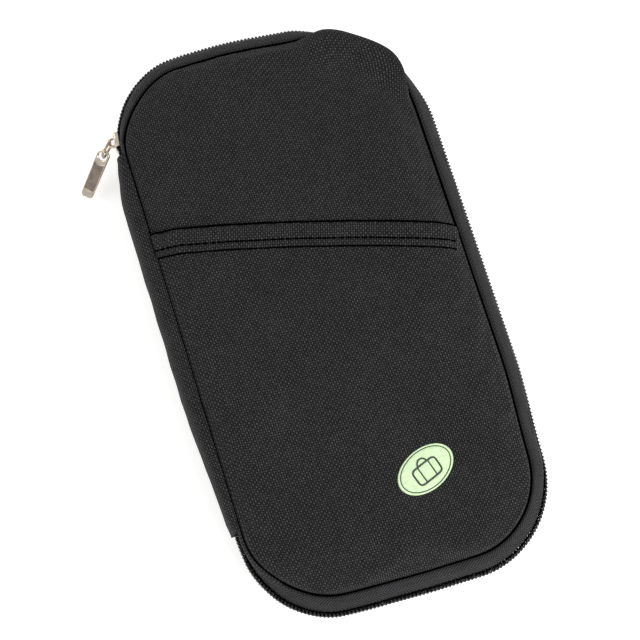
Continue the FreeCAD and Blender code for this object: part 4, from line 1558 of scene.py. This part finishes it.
for piece in (back_sewing, ticket_sewing):
    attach(piece, "back_cover")

# ---------------------------------------------------------------- inside of the front cover
front_lining = lining("front_inner_cloth", FRONT_LINING_Z, -1, lining_cloth)
laid_in(front_lining, "front_cover", "lining_cloth", (0.113, 0.218), "front_lining")
front_edge = edge_binding("front_binding", FRONT_LINING_Z, -1)
laid_in(front_edge, "front_cover", "binding_tape", None)

for number in (1, 2, 3, 4):
    low, high = node_box(f"card_slot_{number}")
    slot_sheet = inner_sheet(
        f"card_pocket_{number}", (low[0], high[0], low[1], high[1]), high[2] + 0.05, -1, pocket_cloth, 0.42,
        thick=0.3, hem=3.0, seed=4.0 + number,
    )
    laid_in(
        slot_sheet, "front_cover", "lining_cloth", (0.088, (high[1] - low[1]) * MM), f"card_slot_{number}"
    )
    row = [((low[0] + 1, high[1] - 2.3), (high[0] - 1, high[1] - 2.3))]
    slot_sewing = inner_stitches(f"card_stitches_{number}", row, high[2] - 0.68, -1)
    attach(slot_sewing, "front_cover")

low, high = node_box("id_window_frame")
border = window_frame(
    "window_border", (low[0], high[0], low[1], high[1]), 8.0, FRONT_LINING_Z, -1, pocket_cloth
)
laid_in(border, "front_cover", "lining_cloth", (0.088, 0.062), "id_window_frame", area=0.0022)
low, high = node_box("id_window_film")
film = inner_sheet(
    "window_sheet", (
        low[0] - 2, high[0] + 2, low[1] - 2, high[1] + 2
    ), FRONT_LINING_Z, -1, window_film, 0.3, thick=0.12
)
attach(film, "front_cover")
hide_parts("id_window_film")

low, high = node_box("coin_pocket_panel")
coin_low, coin_high = node_box("coin_zipper_tape")
coin_y = (coin_low[1] + coin_high[1]) / 2
coin_depth = high[2] - low[2]
purse = inner_sheet(
    "coin_pocket", (low[0], high[0], low[1], high[1]), high[2], -1, lining_cloth, coin_depth + 0.1, seed=9.0,
    recess=(coin_low[1] + 1.0, coin_high[1] - 1.0),
)
laid_in(purse, "front_cover", "lining_cloth", (0.086, 0.058), "coin_pocket_panel")
coin_tape = inner_sheet(
    "coin_tape", (
        coin_low[0] - 1, coin_high[0] + 1, coin_low[1] + 0.6, coin_high[1] - 0.6
    ), high[2] - 0.4, -1,
    tape_cloth, coin_depth - 0.75, thick=0.4,
)
laid_in(coin_tape, "front_cover", "zipper_tape", (0.078, 0.0125), "coin_zipper_tape")
teeth_x = np.linspace(coin_low[0] + 1, coin_high[0] - 1, 300)
teeth_z = high[2] - coin_depth - 0.8
teeth_line = np.column_stack([teeth_x, np.full(300, coin_y), np.full(300, teeth_z)])
teeth_out = np.tile((0.0, 0.0, -1.0), (300, 1))
for word, side in (("upper", 1), ("lower", -1)):
    teeth = coil(f"coin_coil_{word}", teeth_line, teeth_out, (0, 1, 0), side, size=0.72)
    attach(teeth, "front_cover")
    if side > 0:
        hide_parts("coin_zipper_coil")
coin_rows = [
    ((low[0] + 1.5, coin_low[1] + 0.2), (high[0] - 1.5, coin_low[1] + 0.2)),
    ((low[0] + 1.5, coin_high[1] - 0.2), (high[0] - 1.5, coin_high[1] - 0.2)),
]
coin_sewing = inner_stitches("coin_stitches", coin_rows, low[2] - 0.2, -1)
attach(coin_sewing, "front_cover")

for name in ("coin_slider", "coin_pull"):
    node = bpy.data.objects[name]
    for slot in node.material_slots:
        slot.material = gunmetal
    edges = node.modifiers.new("edges", "BEVEL")
    edges.width = 0.15 * MM
    edges.segments = 2
